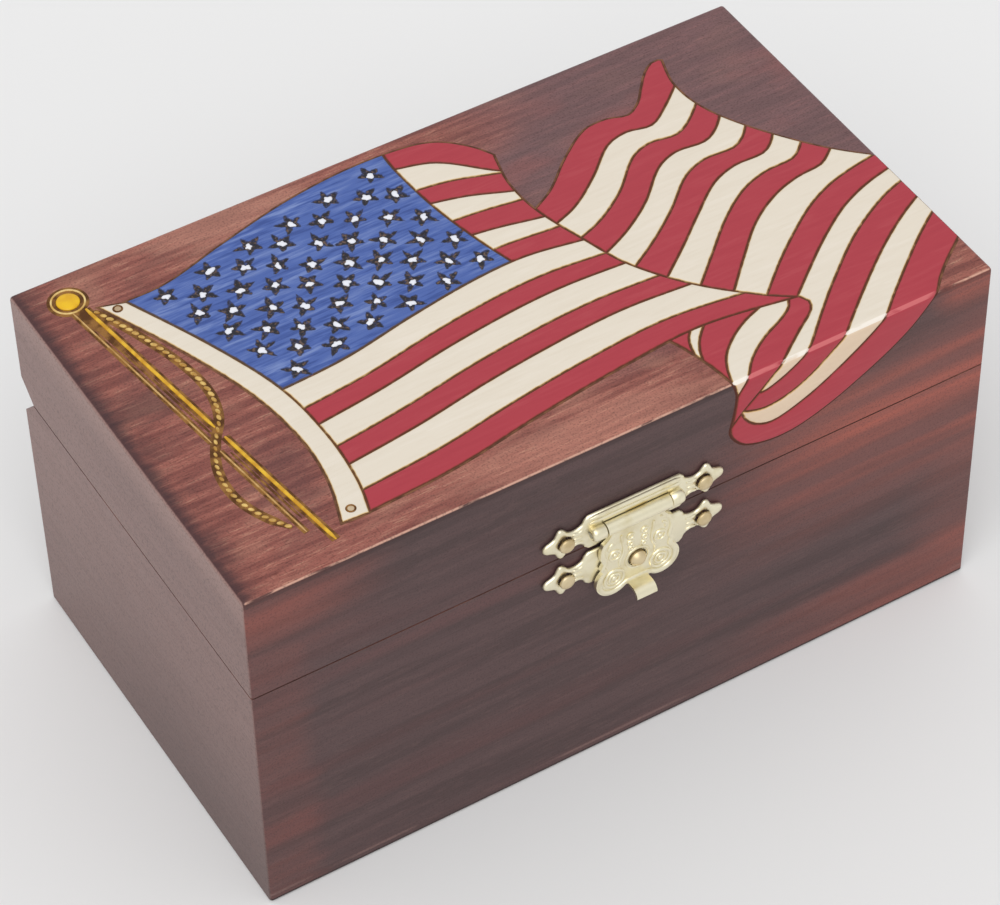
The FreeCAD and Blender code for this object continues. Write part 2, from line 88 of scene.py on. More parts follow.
# Burned pits in a field, and the round forms that stand on it
PIT_DEPTH = 0.2
PIT_WALL = 0.45
PIT_REACH = 4
DOME_TURN = 0.46 * math.pi
RIDGE_STEPS = 6
EVEN = ((0.0, 1.0), (1.0, 1.0))


def rgb(red, green, blue):
    """A colour written as 0 to 255 screen values, as the shader wants it."""
    def linear(value):
        share = value / 255
        return share / 12.92 if share <= 0.04045 else ((share + 0.055) / 1.055) ** 2.4
    return (linear(red), linear(green), linear(blue), 1.0)


class Wire:
    """A value that runs through a material and can be reckoned with like a number."""

    def __init__(self, finish, socket):
        self.finish = finish
        self.socket = socket

    def __add__(self, other):
        return self.finish.math("ADD", self, other)

    def __sub__(self, other):
        return self.finish.math("SUBTRACT", self, other)

    def __rsub__(self, other):
        return self.finish.math("SUBTRACT", other, self)

    def __mul__(self, other):
        return self.finish.math("MULTIPLY", self, other)

    def span(self, low, high):
        """0 below low, 1 above high, smooth between; low above high turns it round."""
        inputs = {"Value": self, "From Min": low, "From Max": high}
        return self.finish.add("MapRange", inputs, interpolation_type="SMOOTHSTEP")


class Finish:
    """A material being made: one shader, object coordinates in metres, and short ways to add nodes."""

    def __init__(self, name, **shader):
        self.material = bpy.data.materials.new(name)
        self.material.use_nodes = True
        self.nodes = self.material.node_tree.nodes
        self.links = self.material.node_tree.links
        self.sockets = self.nodes["Principled BSDF"].inputs
        for socket, value in shader.items():
            self.sockets[socket.replace("_", " ")].default_value = value
        coordinates = self.nodes.new("ShaderNodeTexCoord")
        self.place = Wire(self, coordinates.outputs["Object"])
        self.normal = Wire(self, coordinates.outputs["Normal"])

    def feed(self, socket, value):
        if isinstance(value, Wire):
            self.links.new(value.socket, socket)
        else:
            socket.default_value = value

    def add(self, kind, inputs, output=0, **settings):
        """Adds a node and gives one of its outputs."""
        node = self.nodes.new("ShaderNode" + kind)
        for name, value in settings.items():
            setattr(node, name, value)
        for key, value in inputs.items():
            self.feed(node.inputs[key], value)
        return Wire(self, node.outputs[output])

    def math(self, operation, first, second=0.0):
        return self.add("Math", {0: first, 1: second}, operation=operation)

    def mix(self, share, first, second, blend="MIX"):
        return self.add("Mix", {0: share, 6: first, 7: second}, 2, data_type="RGBA", blend_type=blend)

    def lay(self, colour, *layers):
        """Lays tones over a colour in turn: each layer is its share and its tone."""
        for share, tone in layers:
            colour = self.mix(share, colour, tone)
        return colour

    def noise(self, per_metre, detail=3.0, shift=0.0):
        """Noise with its own number of features per metre along x, y and z, or one number for all three."""
        scale = per_metre if isinstance(per_metre, tuple) else (per_metre,) * 3
        spread = self.add("Mapping", {"Vector": self.place, "Scale": scale, "Location": (shift,) * 3})
        return self.add("TexNoise", {"Vector": spread, "Scale": 1.0, "Detail": detail}, "Fac")

    def axis(self, name, vector=None):
        return self.add("SeparateXYZ", {0: vector or self.place}, name)

    def distance(self, point, along):
        """Distance from a line through a point, where along has 0 for the line's own direction."""
        flat = self.add("VectorMath", {0: self.place, 1: along}, operation="MULTIPLY")
        return self.add("VectorMath", {0: flat, 1: point}, "Value", operation="DISTANCE")

    def attribute(self, name):
        return self.add("Attribute", {}, "Fac", attribute_name=name)

    def colour(self, value):
        self.feed(self.sockets["Base Color"], value)

    def roughness(self, value, low, high):
        inputs = {"Value": value, "To Min": low, "To Max": high}
        self.feed(self.sockets["Roughness"], self.add("MapRange", inputs))

    def bump(self, height, depth, strength):
        """Bumps that follow a height, with their depth in millimetres."""
        inputs = {"Height": height, "Distance": depth * MM, "Strength": strength}
        self.feed(self.sockets["Normal"], self.add("Bump", inputs))


ARRIS_POINT = (0.0, LID_FRONT * MM, LID_TOP * MM)
ACROSS_X = (0.0, 1.0, 1.0)
# Width and colour of the pale line along the front arris: partly wear, partly a painted highlight
WEAR_AND_HIGHLIGHT_WIDTH = 0.5
WEAR_AND_HIGHLIGHT_TONE = rgb(214, 166, 146)
FACING_FRONT = (-0.6, -0.9)
SATIN = {"Specular_IOR_Level": 0.2}

# Features per metre of the grain, for boards that lie along x or along y
GRAIN_X = {"fine": (260, 2800, 2800), "broad": (52, 760, 760), "pore": (420, 4400, 4400)}
GRAIN_Y = {"fine": (2600, 220, 2600), "broad": (640, 44, 640), "pore": (4000, 380, 4000)}

# Where the wood's tones start and where they are full, in metres along an axis or from an arris: stains, a
# pale line at the left arris that is partly wear and partly a painted highlight, a pale band above the foot,
# a darker band under the front arris, and painted shade along the foot and low down on the ends
LEFT_WEAR_AND_HIGHLIGHT = (0.00045, 0.0003)
SMOKE_X = (-0.006, 0.03)
SMOKE_Y = (-0.04, -0.02)
LEFT_EDGE = (-0.0718, -0.0756)
LEFT_SMUDGE = (-0.0685, -0.0745)
FOOT_PALE_BAND = ((0.0015, 0.002), (0.0026, 0.0021))
FOOT_SHADE = (0.0011, 0.0007)
UNDER_ARRIS = (0.0017, 0.0011)
END_NEAR = (0.045, -0.02)
END_TOP = (0.071, 0.078)
LOW_END_SHADE = (0.052, 0.0)
SEAM = 0.053

# Placed patches of the top's stain: centre and half-widths in millimetres, strength and tone
TOP_STAINS = (
    ((-68.0, 6.0), (12.0, 6.0), 0.6, rgb(84, 56, 56)),
    ((-56.0, -22.0), (8.0, 15.0), 0.45, rgb(92, 62, 62)),
    ((-8.0, -40.0), (36.0, 8.0), 0.36, rgb(208, 148, 128)),
    ((-35.0, 41.0), (24.0, 8.0), 0.4, rgb(192, 142, 124)),
)


def arris_wear_and_highlight(finish, colour, worn):
    """Lays a pale, broken line along the lid's front arris over a colour: partly wear, partly a painted
    highlight.
    """
    wear_and_highlight = finish.distance(ARRIS_POINT, ACROSS_X).span(WEAR_AND_HIGHLIGHT_WIDTH * MM, WEAR_AND_HIGHLIGHT_WIDTH * 0.7 * MM)
    broken = finish.noise((160, 700, 700), detail=4.0, shift=3.0).span(0.32, 0.5)
    return finish.mix(wear_and_highlight * broken, colour, worn)


def left_arris_wear_and_highlight(finish, colour):
    """Lays a thin reddish line along the lid's left arris over a colour: partly wear, partly a painted
    highlight.
    """
    away = finish.distance((LID_LEFT * MM, 0.0, LID_TOP * MM), (1.0, 0.0, 1.0))
    return finish.mix(away.span(*LEFT_WEAR_AND_HIGHLIGHT) * 0.5, colour, rgb(166, 126, 118))


def grained(finish, grain, dark, middle, light, pore=0.5):
    """Stained grain: broad and fine streaks along the board between three tones, and short dark pores."""
    fine = finish.noise(grain["fine"], detail=4.0)
    broad = finish.noise(grain["broad"], detail=4.0, shift=5.0)
    tone = finish.mix(broad.span(0.36, 0.62), dark, middle)
    tone = finish.mix(fine.span(0.5, 0.68) * broad.span(0.4, 0.66), tone, light)
    pores = finish.noise(grain["pore"], shift=11.0).span(0.56, 0.68)
    return finish.mix(pores * pore, tone, dark, "MULTIPLY")


def top_tone(finish):
    """Red-brown grain, smoked toward the back right, with dark stain gathered along the left edge."""
    red = grained(finish, GRAIN_X, rgb(130, 76, 69), rgb(158, 97, 86), rgb(184, 132, 113))
    smoke = grained(finish, GRAIN_X, rgb(111, 84, 85), rgb(121, 90, 91), rgb(136, 98, 97), 0.28)
    x = finish.axis("X")
    cloud = (finish.noise((14, 60, 60)) - 0.5) * 0.06
    smoked = (x + cloud).span(*SMOKE_X) * (finish.axis("Y") + cloud).span(*SMOKE_Y)
    clear = 1.0 - smoked * 0.8
    patch = finish.noise((70, 130, 60), detail=2.0, shift=31.0)
    flush = finish.noise((36, 80, 60), shift=41.0).span(0.5, 0.66)
    feather = finish.noise((90, 700, 700), detail=4.0, shift=6.0) - 0.5
    stains = []
    for centre, half, strength, stain in TOP_STAINS:
        place = (centre[0] / half[0], centre[1] / half[1], 0.0)
        away = finish.distance(place, (1 / (half[0] * MM), 1 / (half[1] * MM), 0.0))
        stains.append(((away + feather * 1.2).span(1.0, 0.3) * strength, stain))
    frayed = x + feather * 0.003
    smudge = finish.noise((60, 90, 60), detail=2.0, shift=21.0).span(0.44, 0.62)
    wide = frayed.span(*LEFT_SMUDGE) * smudge * 0.7
    left = finish.math("MAXIMUM", frayed.span(*LEFT_EDGE), wide)
    colour = finish.lay(
        red,
        (smoked, smoke),
        (patch.span(0.52, 0.72) * clear * 0.3, rgb(186, 138, 118)),
        (patch.span(0.48, 0.3) * clear * 0.35, rgb(108, 70, 66)),
        (flush * smoked * 0.45, rgb(144, 90, 87)),
        *stains,
        (left * 0.88, rgb(68, 48, 51)),
    )
    # Pale lines along the front and left arrises: partly wear, partly a painted highlight
    return arris_wear_and_highlight(finish, left_arris_wear_and_highlight(finish, colour), WEAR_AND_HIGHLIGHT_TONE)


def front_tone(finish):
    """Dark smooth stain that lets the red wood through toward the ends and in long soft streaks."""
    x = finish.axis("X")
    z = finish.axis("Z")
    mottle = finish.noise((20, 60, 330), detail=5.0).span(0.36, 0.64)
    fleck = finish.noise((240, 240, 1500), detail=2.0, shift=2.0).span(0.5, 0.74)
    flush = finish.noise((6, 60, 110), detail=4.0, shift=15.0).span(0.5, 0.7)
    flame = finish.noise((9, 60, 110), shift=9.0).span(0.34, 0.62)
    thread = finish.noise((12, 60, 290), detail=5.0, shift=19.0).span(0.32, 0.64)
    streak = flame * (thread * 0.85 + 0.3)
    ragged = x + (finish.noise((30, 30, 330), shift=8.0) - 0.5) * 0.007
    from_seam = finish.math("ABSOLUTE", z - SEAM)
    # Red patches: strength, then where each starts and is full along x and up z
    patches = (
        (1.0, x.span(0.008, 0.052), from_seam.span(0.028, 0.004)),
        (0.55, x.span(0.01, 0.06), z.span(0.018, 0.006)),
        (0.5, x.span(0.055, 0.073), 1.0),
        (1.2, x.span(0.06, 0.07), z.span(0.068, 0.077)),
        (0.48, ragged.span(-0.044, -0.07), z.span(0.056, 0.078)),
        (0.22, ragged.span(-0.0625, -0.0685), 1.0),
    )
    share = 0.0
    for strength, along, across in patches:
        share = finish.math("MAXIMUM", along * across * strength, share)
    foot = z.span(*FOOT_PALE_BAND[0]) * z.span(*FOOT_PALE_BAND[1])
    broken = finish.noise(60, detail=4.0, shift=4.0).span(0.45, 0.6)
    under = finish.distance(ARRIS_POINT, ACROSS_X).span(*UNDER_ARRIS)
    colour = finish.lay(
        rgb(80, 63, 63),
        (mottle, rgb(91, 71, 71)),
        (fleck * 0.3, rgb(108, 84, 82)),
        (flush * 0.24, rgb(118, 72, 70)),
        (share * (streak * 0.7 + 0.3), rgb(166, 91, 78)),
        # A pale broken band just above the foot
        (foot * broken * 0.5, rgb(142, 112, 106)),
        # Painted shade along the foot of the front
        (z.span(*FOOT_SHADE), rgb(58, 46, 46)),
        (under * 0.55, rgb(62, 46, 46)),
    )
    # Pale line along the front arris: partly wear, partly a painted highlight
    return arris_wear_and_highlight(finish, colour, WEAR_AND_HIGHLIGHT_TONE)


def end_tone(finish):
    """An even greyish tone, darker toward the front, with painted shade low down."""
    tone = grained(finish, GRAIN_Y, rgb(139, 112, 107), rgb(143, 116, 111), rgb(149, 121, 115), 0.04)
    speck = finish.noise(900, detail=2.0, shift=1.0).span(0.5, 0.8)
    z = finish.axis("Z")
    near = finish.axis("Y").span(*END_NEAR)
    tone = finish.lay(
        tone,
        (speck * 0.3, rgb(126, 99, 95)),
        (near * 0.24, rgb(112, 88, 86)),
        (z.span(*END_TOP) * 0.5, rgb(166, 135, 127)),
        # Painted shade low down on the ends, deeper toward the front
        (z.span(*LOW_END_SHADE) * (near * 0.35 + 0.35), rgb(90, 72, 70)),
    )
    # Pale line along the left arris: partly wear, partly a painted highlight
    return left_arris_wear_and_highlight(finish, tone)


def back_tone(finish):
    return grained(finish, GRAIN_X, rgb(92, 68, 66), rgb(116, 78, 72), rgb(142, 94, 84))


def inside_tone(finish, grain):
    return grained(finish, grain, rgb(96, 68, 62), rgb(124, 82, 72), rgb(152, 106, 92))


def underside_tone(finish):
    return grained(finish, GRAIN_X, rgb(84, 62, 60), rgb(104, 76, 70), rgb(140, 104, 92))


# Each side of the box: the axis of the normal that tells it, where its tone starts and where it is full
SIDES = {
    "top": (top_tone, "Z", 0.1, 0.3),
    "underside": (underside_tone, "Z", -0.5, -0.75),
    "front": (front_tone, "Y", -0.5, -0.75),
    "back": (back_tone, "Y", 0.5, 0.75),
    "left": (end_tone, "X", -0.6, -0.85),
    "right": (end_tone, "X", 0.6, 0.85),
}


def board(name, *sides, grain=GRAIN_X):
    """Stained wood with the tone of each named side of the box, and the inside's tone elsewhere."""
    finish = Finish(name, **SATIN)
    colour = inside_tone(finish, grain)
    for side in sides:
        tone, axis, start, full = SIDES[side]
        colour = finish.mix(finish.axis(axis, finish.normal).span(start, full), colour, tone(finish))
    fine = finish.noise(grain["fine"], detail=4.0)
    grit = finish.noise(2600, detail=2.0, shift=27.0).span(0.48, 0.7)
    finish.colour(finish.mix(grit * 0.38, colour, rgb(58, 44, 44)))
    finish.roughness(fine, 0.36, 0.5)
    finish.bump(fine, 0.06, 0.6)
    return finish.material


def metal(name, colour, tarnish, low, high, lacquer=0.0):
    """Brass or steel with slight dulling in patches, fine handling marks and any clear lacquer."""
    finish = Finish(name, Metallic=1.0, Coat_Weight=lacquer, Coat_Roughness=0.2)
    patch = finish.noise(260, detail=4.0)
    scratch = finish.noise((2600, 700, 2600), detail=2.0, shift=2.0)
    finish.colour(finish.mix(patch.span(0.45, 0.75), colour, tarnish))
    finish.roughness(patch, low, high)
    finish.bump(scratch, 0.02, 0.3)
    return finish.material


def painted(name, colour, dark, light, halo, burned, streak=0.25, front_shade_tint=rgb(255, 255, 255)):
    """Paint worked into wood, scorched at its burned line and in burned pits, with a painted shade tint where
    it faces the box's front.
    """
    finish = Finish(name, **SATIN)
    fine = finish.noise((150, 1400, 1400), detail=4.0)
    broad = finish.noise((40, 420, 420), detail=4.0, shift=7.0)
    burn = finish.attribute("burn") + (finish.noise(700) - 0.5) * 0.7
    frayed = finish.noise(1300, detail=4.0, shift=9.0) - 0.5
    char = finish.attribute("char") * (frayed * 3.0 + 1.0)
    patch = finish.noise(1500, shift=13.0).span(0.5, 0.66)
    tone = finish.lay(
        colour,
        (fine.span(0.5, 0.3) * streak, dark),
        (fine.span(0.45, 0.7) * broad.span(0.3, 0.7) * streak, light),
        (burn.span(0.15, 0.7), halo),
        (burn.span(0.65, 1.0), burned),
        (char.span(0.12, 0.5), rgb(56, 63, 98)),
        (char.span(0.45, 0.9), finish.mix(patch, rgb(44, 43, 50), rgb(108, 88, 76))),
    )
    # Painted shade: paint that faces the box's front is tinted warmer and darker
    front = finish.axis("Y", finish.normal).span(*FACING_FRONT)
    tone = finish.mix(front * 0.6, tone, front_shade_tint, "MULTIPLY")
    # Pale line along the front arris over the paint: partly wear, partly a painted highlight
    finish.colour(arris_wear_and_highlight(finish, tone, light))
    finish.roughness(fine, 0.42, 0.55)
    finish.bump(fine, 0.03, 0.5)
    return finish.material


def scorched(name, dark, light):
    """Burned wood, darker on the box's front."""
    finish = Finish(name, **SATIN)
    patch = finish.noise(400, detail=4.0)
    tone = finish.mix(patch.span(0.38, 0.64), dark, light)
    front = finish.axis("Y", finish.normal).span(*FACING_FRONT)
    finish.colour(finish.mix(front, tone, rgb(84, 44, 34)))
    finish.roughness(patch, 0.6, 0.8)
    finish.bump(patch, 0.05, 0.5)
    return finish.material


def gold_paint(name, dark, light):
    finish = Finish(name)
    patch = finish.noise(500, detail=4.0)
    finish.colour(finish.mix(patch.span(0.35, 0.7), dark, light))
    finish.roughness(patch, 0.35, 0.5)
    finish.bump(patch, 0.04, 0.4)
    return finish.material


def floor_finish():
    finish = Finish("pale_floor", Specular_IOR_Level=0.0)
    patch = finish.noise(3)
    finish.colour(finish.mix(patch, rgb(235, 235, 235), rgb(236, 236, 236)))
    finish.roughness(patch, 0.9, 1.0)
    return finish.material


# Lines of the drawing, on the lid rolled flat: x along the lid, s from back to front and on down the front


def through(points, spacing=POINT_SPACING):
    """A smooth line through a few points, as points a short step apart."""
    points = [Vector(point) for point in points]
    places = [0.0]
    for before, after in zip(points, points[1:]):
        places.append(places[-1] + (after - before).length)
    last = len(points) - 1
    slopes = []
    for i in range(last + 1):
        low = max(i - 1, 0)
        high = min(i + 1, last)
        slopes.append((points[high] - points[low]) / (places[high] - places[low]))
    line = []
    for i in range(last):
        length = places[i + 1] - places[i]
        steps = max(1, round(length / spacing))
        for k in range(steps):
            t = k / steps
            start = points[i] * (1 + 2 * t) * (1 - t) ** 2 + slopes[i] * (length * t * (1 - t) ** 2)
            end = points[i + 1] * t * t * (3 - 2 * t) + slopes[i + 1] * (length * t * t * (t - 1))
            line.append(start + end)
    line.append(points[-1])
    return line


def between_rows(rows, places, place):
    """The line at one place of a sheet that is spanned by a few rows of points."""
    weights = []
    for own in places:
        weights.append(math.prod((place - other) / (own - other) for other in places if other != own))
    line = []
    for column in zip(*rows):
        total = Vector((0.0, 0.0))
        for weight, point in zip(weights, column):
            total += weight * Vector(point)
        line.append(total)
    return through(line)


def meet(first, second):
    """Where two lines cross, as a place along each."""
    for i in range(len(first) - 1):
        for j in range(len(second) - 1):
            point = intersect_line_line_2d(first[i], first[i + 1], second[j], second[j + 1])
            if point is not None:
                along = (point - first[i]).length / (first[i + 1] - first[i]).length
                across = (point - second[j]).length / (second[j + 1] - second[j]).length
                return i + along, j + across
    raise ValueError("two lines of the drawing do not cross")


def at(line, place):
    index = min(int(place), len(line) - 2)
    return line[index].lerp(line[index + 1], place - index)


def portion(line, start, end):
    """The points of a line from one place to another, either way round."""
    if start > end:
        return portion(line, end, start)[::-1]
    inner = [line[i] for i in range(math.floor(start) + 1, math.ceil(end))]
    return [at(line, start)] + inner + [at(line, end)]


def outline(*lines):
    """The closed outline of a field whose sides are these lines in turn."""
    count = len(lines)
    crossings = [meet(lines[i], lines[(i + 1) % count]) for i in range(count)]
    points = []
    for i, line in enumerate(lines):
        start = crossings[i - 1][1]
        end = crossings[i][0]
        points += portion(line, start, end)[:-1]
    return with_bends([(point.x, point.y) for point in points], True)


# Drawing on the lid as a low relief, which turns over the lid's front arris and its right arris


CENTRE_X = LID_RIGHT - ARRIS_RADIUS
CENTRE_Y = LID_FRONT + ARRIS_RADIUS
CENTRE_Z = LID_TOP - ARRIS_RADIUS
BEND = 2 * ARRIS_RADIUS
BEND_SHARES = [BEND * k / BEND_STEPS for k in range(BEND_STEPS + 1)]
FRONT_BENDS = [CENTRE_Y - share for share in BEND_SHARES]
RIGHT_BENDS = [CENTRE_X + share for share in BEND_SHARES]
TINY = 1e-12


def with_bends(points, closed):
    """The points of a path, and one more wherever it crosses a line of the bend over the front arris."""
    path = []
    for i, start in enumerate(points):
        path.append(start)
        if i + 1 == len(points) and not closed:
            break
        end = points[(i + 1) % len(points)]
        shares = []
        for s in FRONT_BENDS:
            if (start[1] - s) * (end[1] - s) < 0:
                shares.append((s - start[1]) / (end[1] - start[1]))
        for share in sorted(shares):
            path.append(tuple(low + share * (high - low) for low, high in zip(start, end)))
    return np.array(path)


def wrap(flat, height):
    """Lays points of the flat drawing on the lid, round its front arris and its right arris, in metres."""
    x = flat[:, 0]
    s = flat[:, 1]
    turn = np.clip((CENTRE_Y - s) / BEND, 0, 1) * math.pi / 2
    over = np.maximum(CENTRE_Y - BEND - s, 0)
    reach = ARRIS_RADIUS + height
    y = np.maximum(s, CENTRE_Y) - reach * np.sin(turn)
    z = CENTRE_Z + reach * np.cos(turn) - over
    lean = np.clip((x - CENTRE_X) / BEND, 0, 1) * math.pi / 2
    tipped = lean > 0
    x = np.where(tipped, CENTRE_X + reach * np.sin(lean), x)
    z = np.where(tipped, CENTRE_Z + reach * np.cos(lean), z)
    return np.stack([x, y, z], axis=1) * MM


def reach_inside(points, ring):
    """Distance of points from a closed outline, positive inside it."""
    start = ring
    end = np.roll(ring, -1, axis=0)
    side = end - start
    away = points[:, None, :] - start[None, :, :]
    length = np.maximum((side ** 2).sum(1), TINY)
    along = np.clip((away * side).sum(2) / length, 0, 1)
    gap = away - along[:, :, None] * side
    distance = np.sqrt((gap ** 2).sum(2)).min(1)
    above = (start[None, :, 1] > points[:, None, 1]) != (end[None, :, 1] > points[:, None, 1])
    rise = np.where(np.abs(side[:, 1]) < TINY, TINY, side[:, 1])
    crossing = start[:, 0] + (points[:, None, 1] - start[:, 1]) / rise * side[:, 0]
    inside = (above & (points[:, None, 0] < crossing)).sum(1) % 2 == 1
    return np.where(inside, distance, -distance)


def shrunk(ring, inset):
    """A closed outline drawn in by an inset, with its corners' reach held."""
    side = np.roll(ring, -1, axis=0) - ring
    side = side / np.maximum(np.linalg.norm(side, axis=1, keepdims=True), TINY)
    normal = np.stack([-side[:, 1], side[:, 0]], axis=1)
    x, y = ring.T
    if (x * np.roll(y, -1) - np.roll(x, -1) * y).sum() < 0:
        normal = -normal
    both = normal + np.roll(normal, 1, axis=0)
    scale = np.maximum((both ** 2).sum(1, keepdims=True) / 2, CORNER_HOLD)
    return ring + both / scale * inset


def bend_lines(ring):
    """Lines where a field folds over the lid's front arris or right arris."""
    low = ring.min(0)
    high = ring.max(0)
    lines = [[(low[0] - 1, s), (high[0] + 1, s)] for s in FRONT_BENDS if low[1] < s < high[1]]
    lines += [[(x, low[1] - 1), (x, high[1] + 1)] for x in RIGHT_BENDS if low[0] < x < high[0]]
    return np.array(lines)


def triangles(ring, loops, lines, holes=()):
    """Points and triangles that fill an outline round its holes and keep every loop and line as edges."""
    points = []
    edges = []
    for path, closed in [(loop, True) for loop in loops] + [(line, False) for line in lines]:
        first = len(points)
        count = len(path)
        points += [Vector(point) for point in path.tolist()]
        edges += [(first + k, first + k + 1) for k in range(count - 1)]
        if closed:
            edges.append((first + count - 1, first))
    made = delaunay_2d_cdt(points, edges, [], 0, POINT_MERGE)
    flat = np.array([(point.x, point.y) for point in made[0]])
    faces = np.array(made[2])
    middle = flat[faces].mean(1)
    kept = reach_inside(middle, ring) > 0
    for hole in holes:
        kept &= reach_inside(middle, hole) < 0
    faces = faces[kept]
    used, faces = np.unique(faces, return_inverse=True)
    return flat[used], faces.reshape(-1, 3)


def rim_edges(faces):
    """The directed edges that only one triangle has."""
    edges = set()
    for a, b, c in faces.tolist():
        edges |= {(a, b), (b, c), (c, a)}
    return [edge for edge in edges if edge[::-1] not in edges]


def new_object(name, data):
    thing = bpy.data.objects.new(name, data)
    bpy.context.scene.collection.objects.link(thing)
    return thing


def circle(centre, radius, sides=32):
    angles = np.arange(sides) * 2 * math.pi / sides
    return np.array(centre) + radius * np.stack([np.cos(angles), np.sin(angles)], axis=1)


class Shape:
    """Points and faces of one piece, laid in place by a function of flat points and heights."""

    def __init__(self, place):
        self.place = place
        self.points = []
        self.faces = []

    def add_rings(self, rings, heights, joined):
        """Bands of faces from ring to ring, then joined end to end or capped."""
        first = len(self.points)
        count = len(rings[0])
        total = len(rings)
        for ring, height in zip(rings, heights):
            self.points += self.place(np.asarray(ring), np.broadcast_to(height, count)).tolist()
        for k in range(total if joined else total - 1):
            low = first + k * count
            high = first + (k + 1) % total * count
            for i in range(count):
                j = (i + 1) % count
                self.faces.append((low + i, low + j, high + j, high + i))
        if not joined:
            last = first + (total - 1) * count
            self.faces.append(tuple(first + i for i in reversed(range(count))))
            self.faces.append(tuple(last + i for i in range(count)))

    def dome(self, ring, base, height, steps=4):
        """A rounded blob over an outline."""
        centre = ring.mean(0)
        turns = [DOME_TURN * k / steps for k in range(steps + 1)]
        rings = [ring] + [centre + (ring - centre) * math.cos(turn) for turn in turns]
        heights = [base - FIELD_SINK] + [base + height * math.sin(turn) for turn in turns]
        self.add_rings(rings, heights, False)

    def turned(self, centre, profile, joined=False, sides=36):
        """A round form about a point: profile is pairs of radius and height."""
        radii, heights = zip(*profile)
        self.add_rings([circle(centre, radius, sides) for radius in radii], heights, joined)

    def bar(self, line, half_width, base, height, swell=EVEN, steps=6, square=1.0):
        """A half-round bar along a flat line; swell scales it, and a low square fills its corners."""
        path = with_bends([(point[0], point[1]) for point in line], False)
        ahead = np.gradient(path, axis=0)
        ahead = ahead / np.linalg.norm(ahead, axis=1, keepdims=True)
        side = np.stack([-ahead[:, 1], ahead[:, 0]], axis=1)
        turns = np.linspace(0, math.pi, steps + 1)
        across = np.sign(np.cos(turns)) * np.abs(np.cos(turns)) ** square
        offsets = half_width * np.concatenate([[1], across, [-1]])
        rise = np.concatenate([[-FIELD_SINK], height * np.abs(np.sin(turns)) ** square, [-FIELD_SINK]])
        scale = np.interp(np.linspace(0, 1, len(path)), *zip(*swell))
        rings = [point + normal * offsets[:, None] * size for point, normal, size in zip(path, side, scale)]
        heights = [base + np.where(rise > 0, rise * size, rise) for size in scale]
        self.add_rings(rings, heights, False)

    def ridge(self, centre, radius, half_width, base, height):
        """A half-round ring about a point."""
        turns = [math.pi * k / RIDGE_STEPS for k in range(RIDGE_STEPS + 1)]
        profile = [(radius + half_width * math.cos(turn), base + height * math.sin(turn)) for turn in turns]
        profile += [(radius - half_width, base - FIELD_SINK), (radius + half_width, base - FIELD_SINK)]
        self.turned(centre, profile, joined=True)

    def relief(self, flat, faces, height, under):
        """A relief over flat triangles, with walls down to its underside."""
        first = len(self.points)
        count = len(flat)
        for level in (height, under):
            self.points += self.place(flat, np.broadcast_to(level, count)).tolist()
        walls = [(a, a + count, b + count, b) for a, b in rim_edges(faces)]
        shell = faces.tolist() + (faces[:, ::-1] + count).tolist() + walls
        self.faces += [tuple(first + k for k in face) for face in shell]

    def piece(self, name, body, slot, material, shares=None):
        """A mesh that rides on a body and takes one finish; shares are values at its points, by name."""
        mesh = bpy.data.meshes.new(name)
        mesh.from_pydata(self.points, [], self.faces)
        for share, values in (shares or {}).items():
            mesh.attributes.new(share, "FLOAT", "POINT").data.foreach_set("value", values)
        mesh.materials.append(material)
        mesh.validate()
        shell = bmesh.new()
        shell.from_mesh(mesh)
        bmesh.ops.recalc_face_normals(shell, faces=shell.faces)
        shell.to_mesh(mesh)
        shell.free()
        mesh.shade_smooth()
        mesh.set_sharp_from_angle(angle=SHARP_ANGLE)
        piece = new_object(name, mesh)
        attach(piece, body)
        return piece


def field(name, ring, finish, slot, pits=()):
    """A painted field: a low pad with rounded shoulders inside its burned line, closed underneath."""
    loops = [shrunk(ring, inset) for inset, height, burn in SHOULDER]
    for pit in pits:
        loops += [pit, shrunk(pit, PIT_WALL)]
    flat, faces = triangles(ring, loops, bend_lines(ring))
    inset = reach_inside(flat, ring)
    places, heights, burns = zip(*SHOULDER)
    height = np.interp(inset, places, heights)
    burn = np.interp(inset, places, burns)
    char = np.zeros(len(flat))
    for pit in pits:
        near = np.where(np.abs(flat - pit.mean(0)).max(1) < PIT_REACH)[0]
        depth = np.clip(reach_inside(flat[near], pit) / PIT_WALL, 0, 1)
        height[near] -= depth * PIT_DEPTH
        char[near] = np.maximum(char[near], depth)
    pad = Shape(wrap)
    pad.relief(flat, faces, height, -FIELD_SINK)
    pad.piece(name, "lid", slot, finish, {"burn": np.tile(burn, 2), "char": np.tile(char, 2)})


# The flag's lines


HOIST_OUTER = through([
    (-64.6, 33.6), (-57, 15.8), (-51.2, -1.5), (-49.3, -15.5), (-50.2, -26.5), (-53.4, -37.2),
])
HOIST_INNER = through([(-59.8, 32.4), (-51.5, 13), (-46.3, -3), (-45, -17), (-45.9, -29), (-48.1, -37.6)])
HOIST_TOP = through([(-66, 32.9), (-57, 30)])
HOIST_FOOT = through([(-55, -36), (-46, -36.8)])
TOP_EDGE = through([
    (-61, 30.9), (-51, 31.2), (-38, 34.9), (-22, 38.9), (-8, 40.5), (4, 39.9), (9.5, 38), (14, 33.6),
    (16.5, 29.3), (17, 27.8),
])
CANTON_EDGE = through([(-1, 41.6), (-1.2, 35), (-0.2, 23), (1.9, 12), (4.5, 2.2)])
FOLD = through([
    (16.9, 31), (16.2, 29), (14.6, 21), (15.2, 12), (18.2, 1.3), (21.5, -8.3), (28.4, -18.8),
    (37.2, -27.6), (42.4, -31.5), (43.6, -32.4),
])

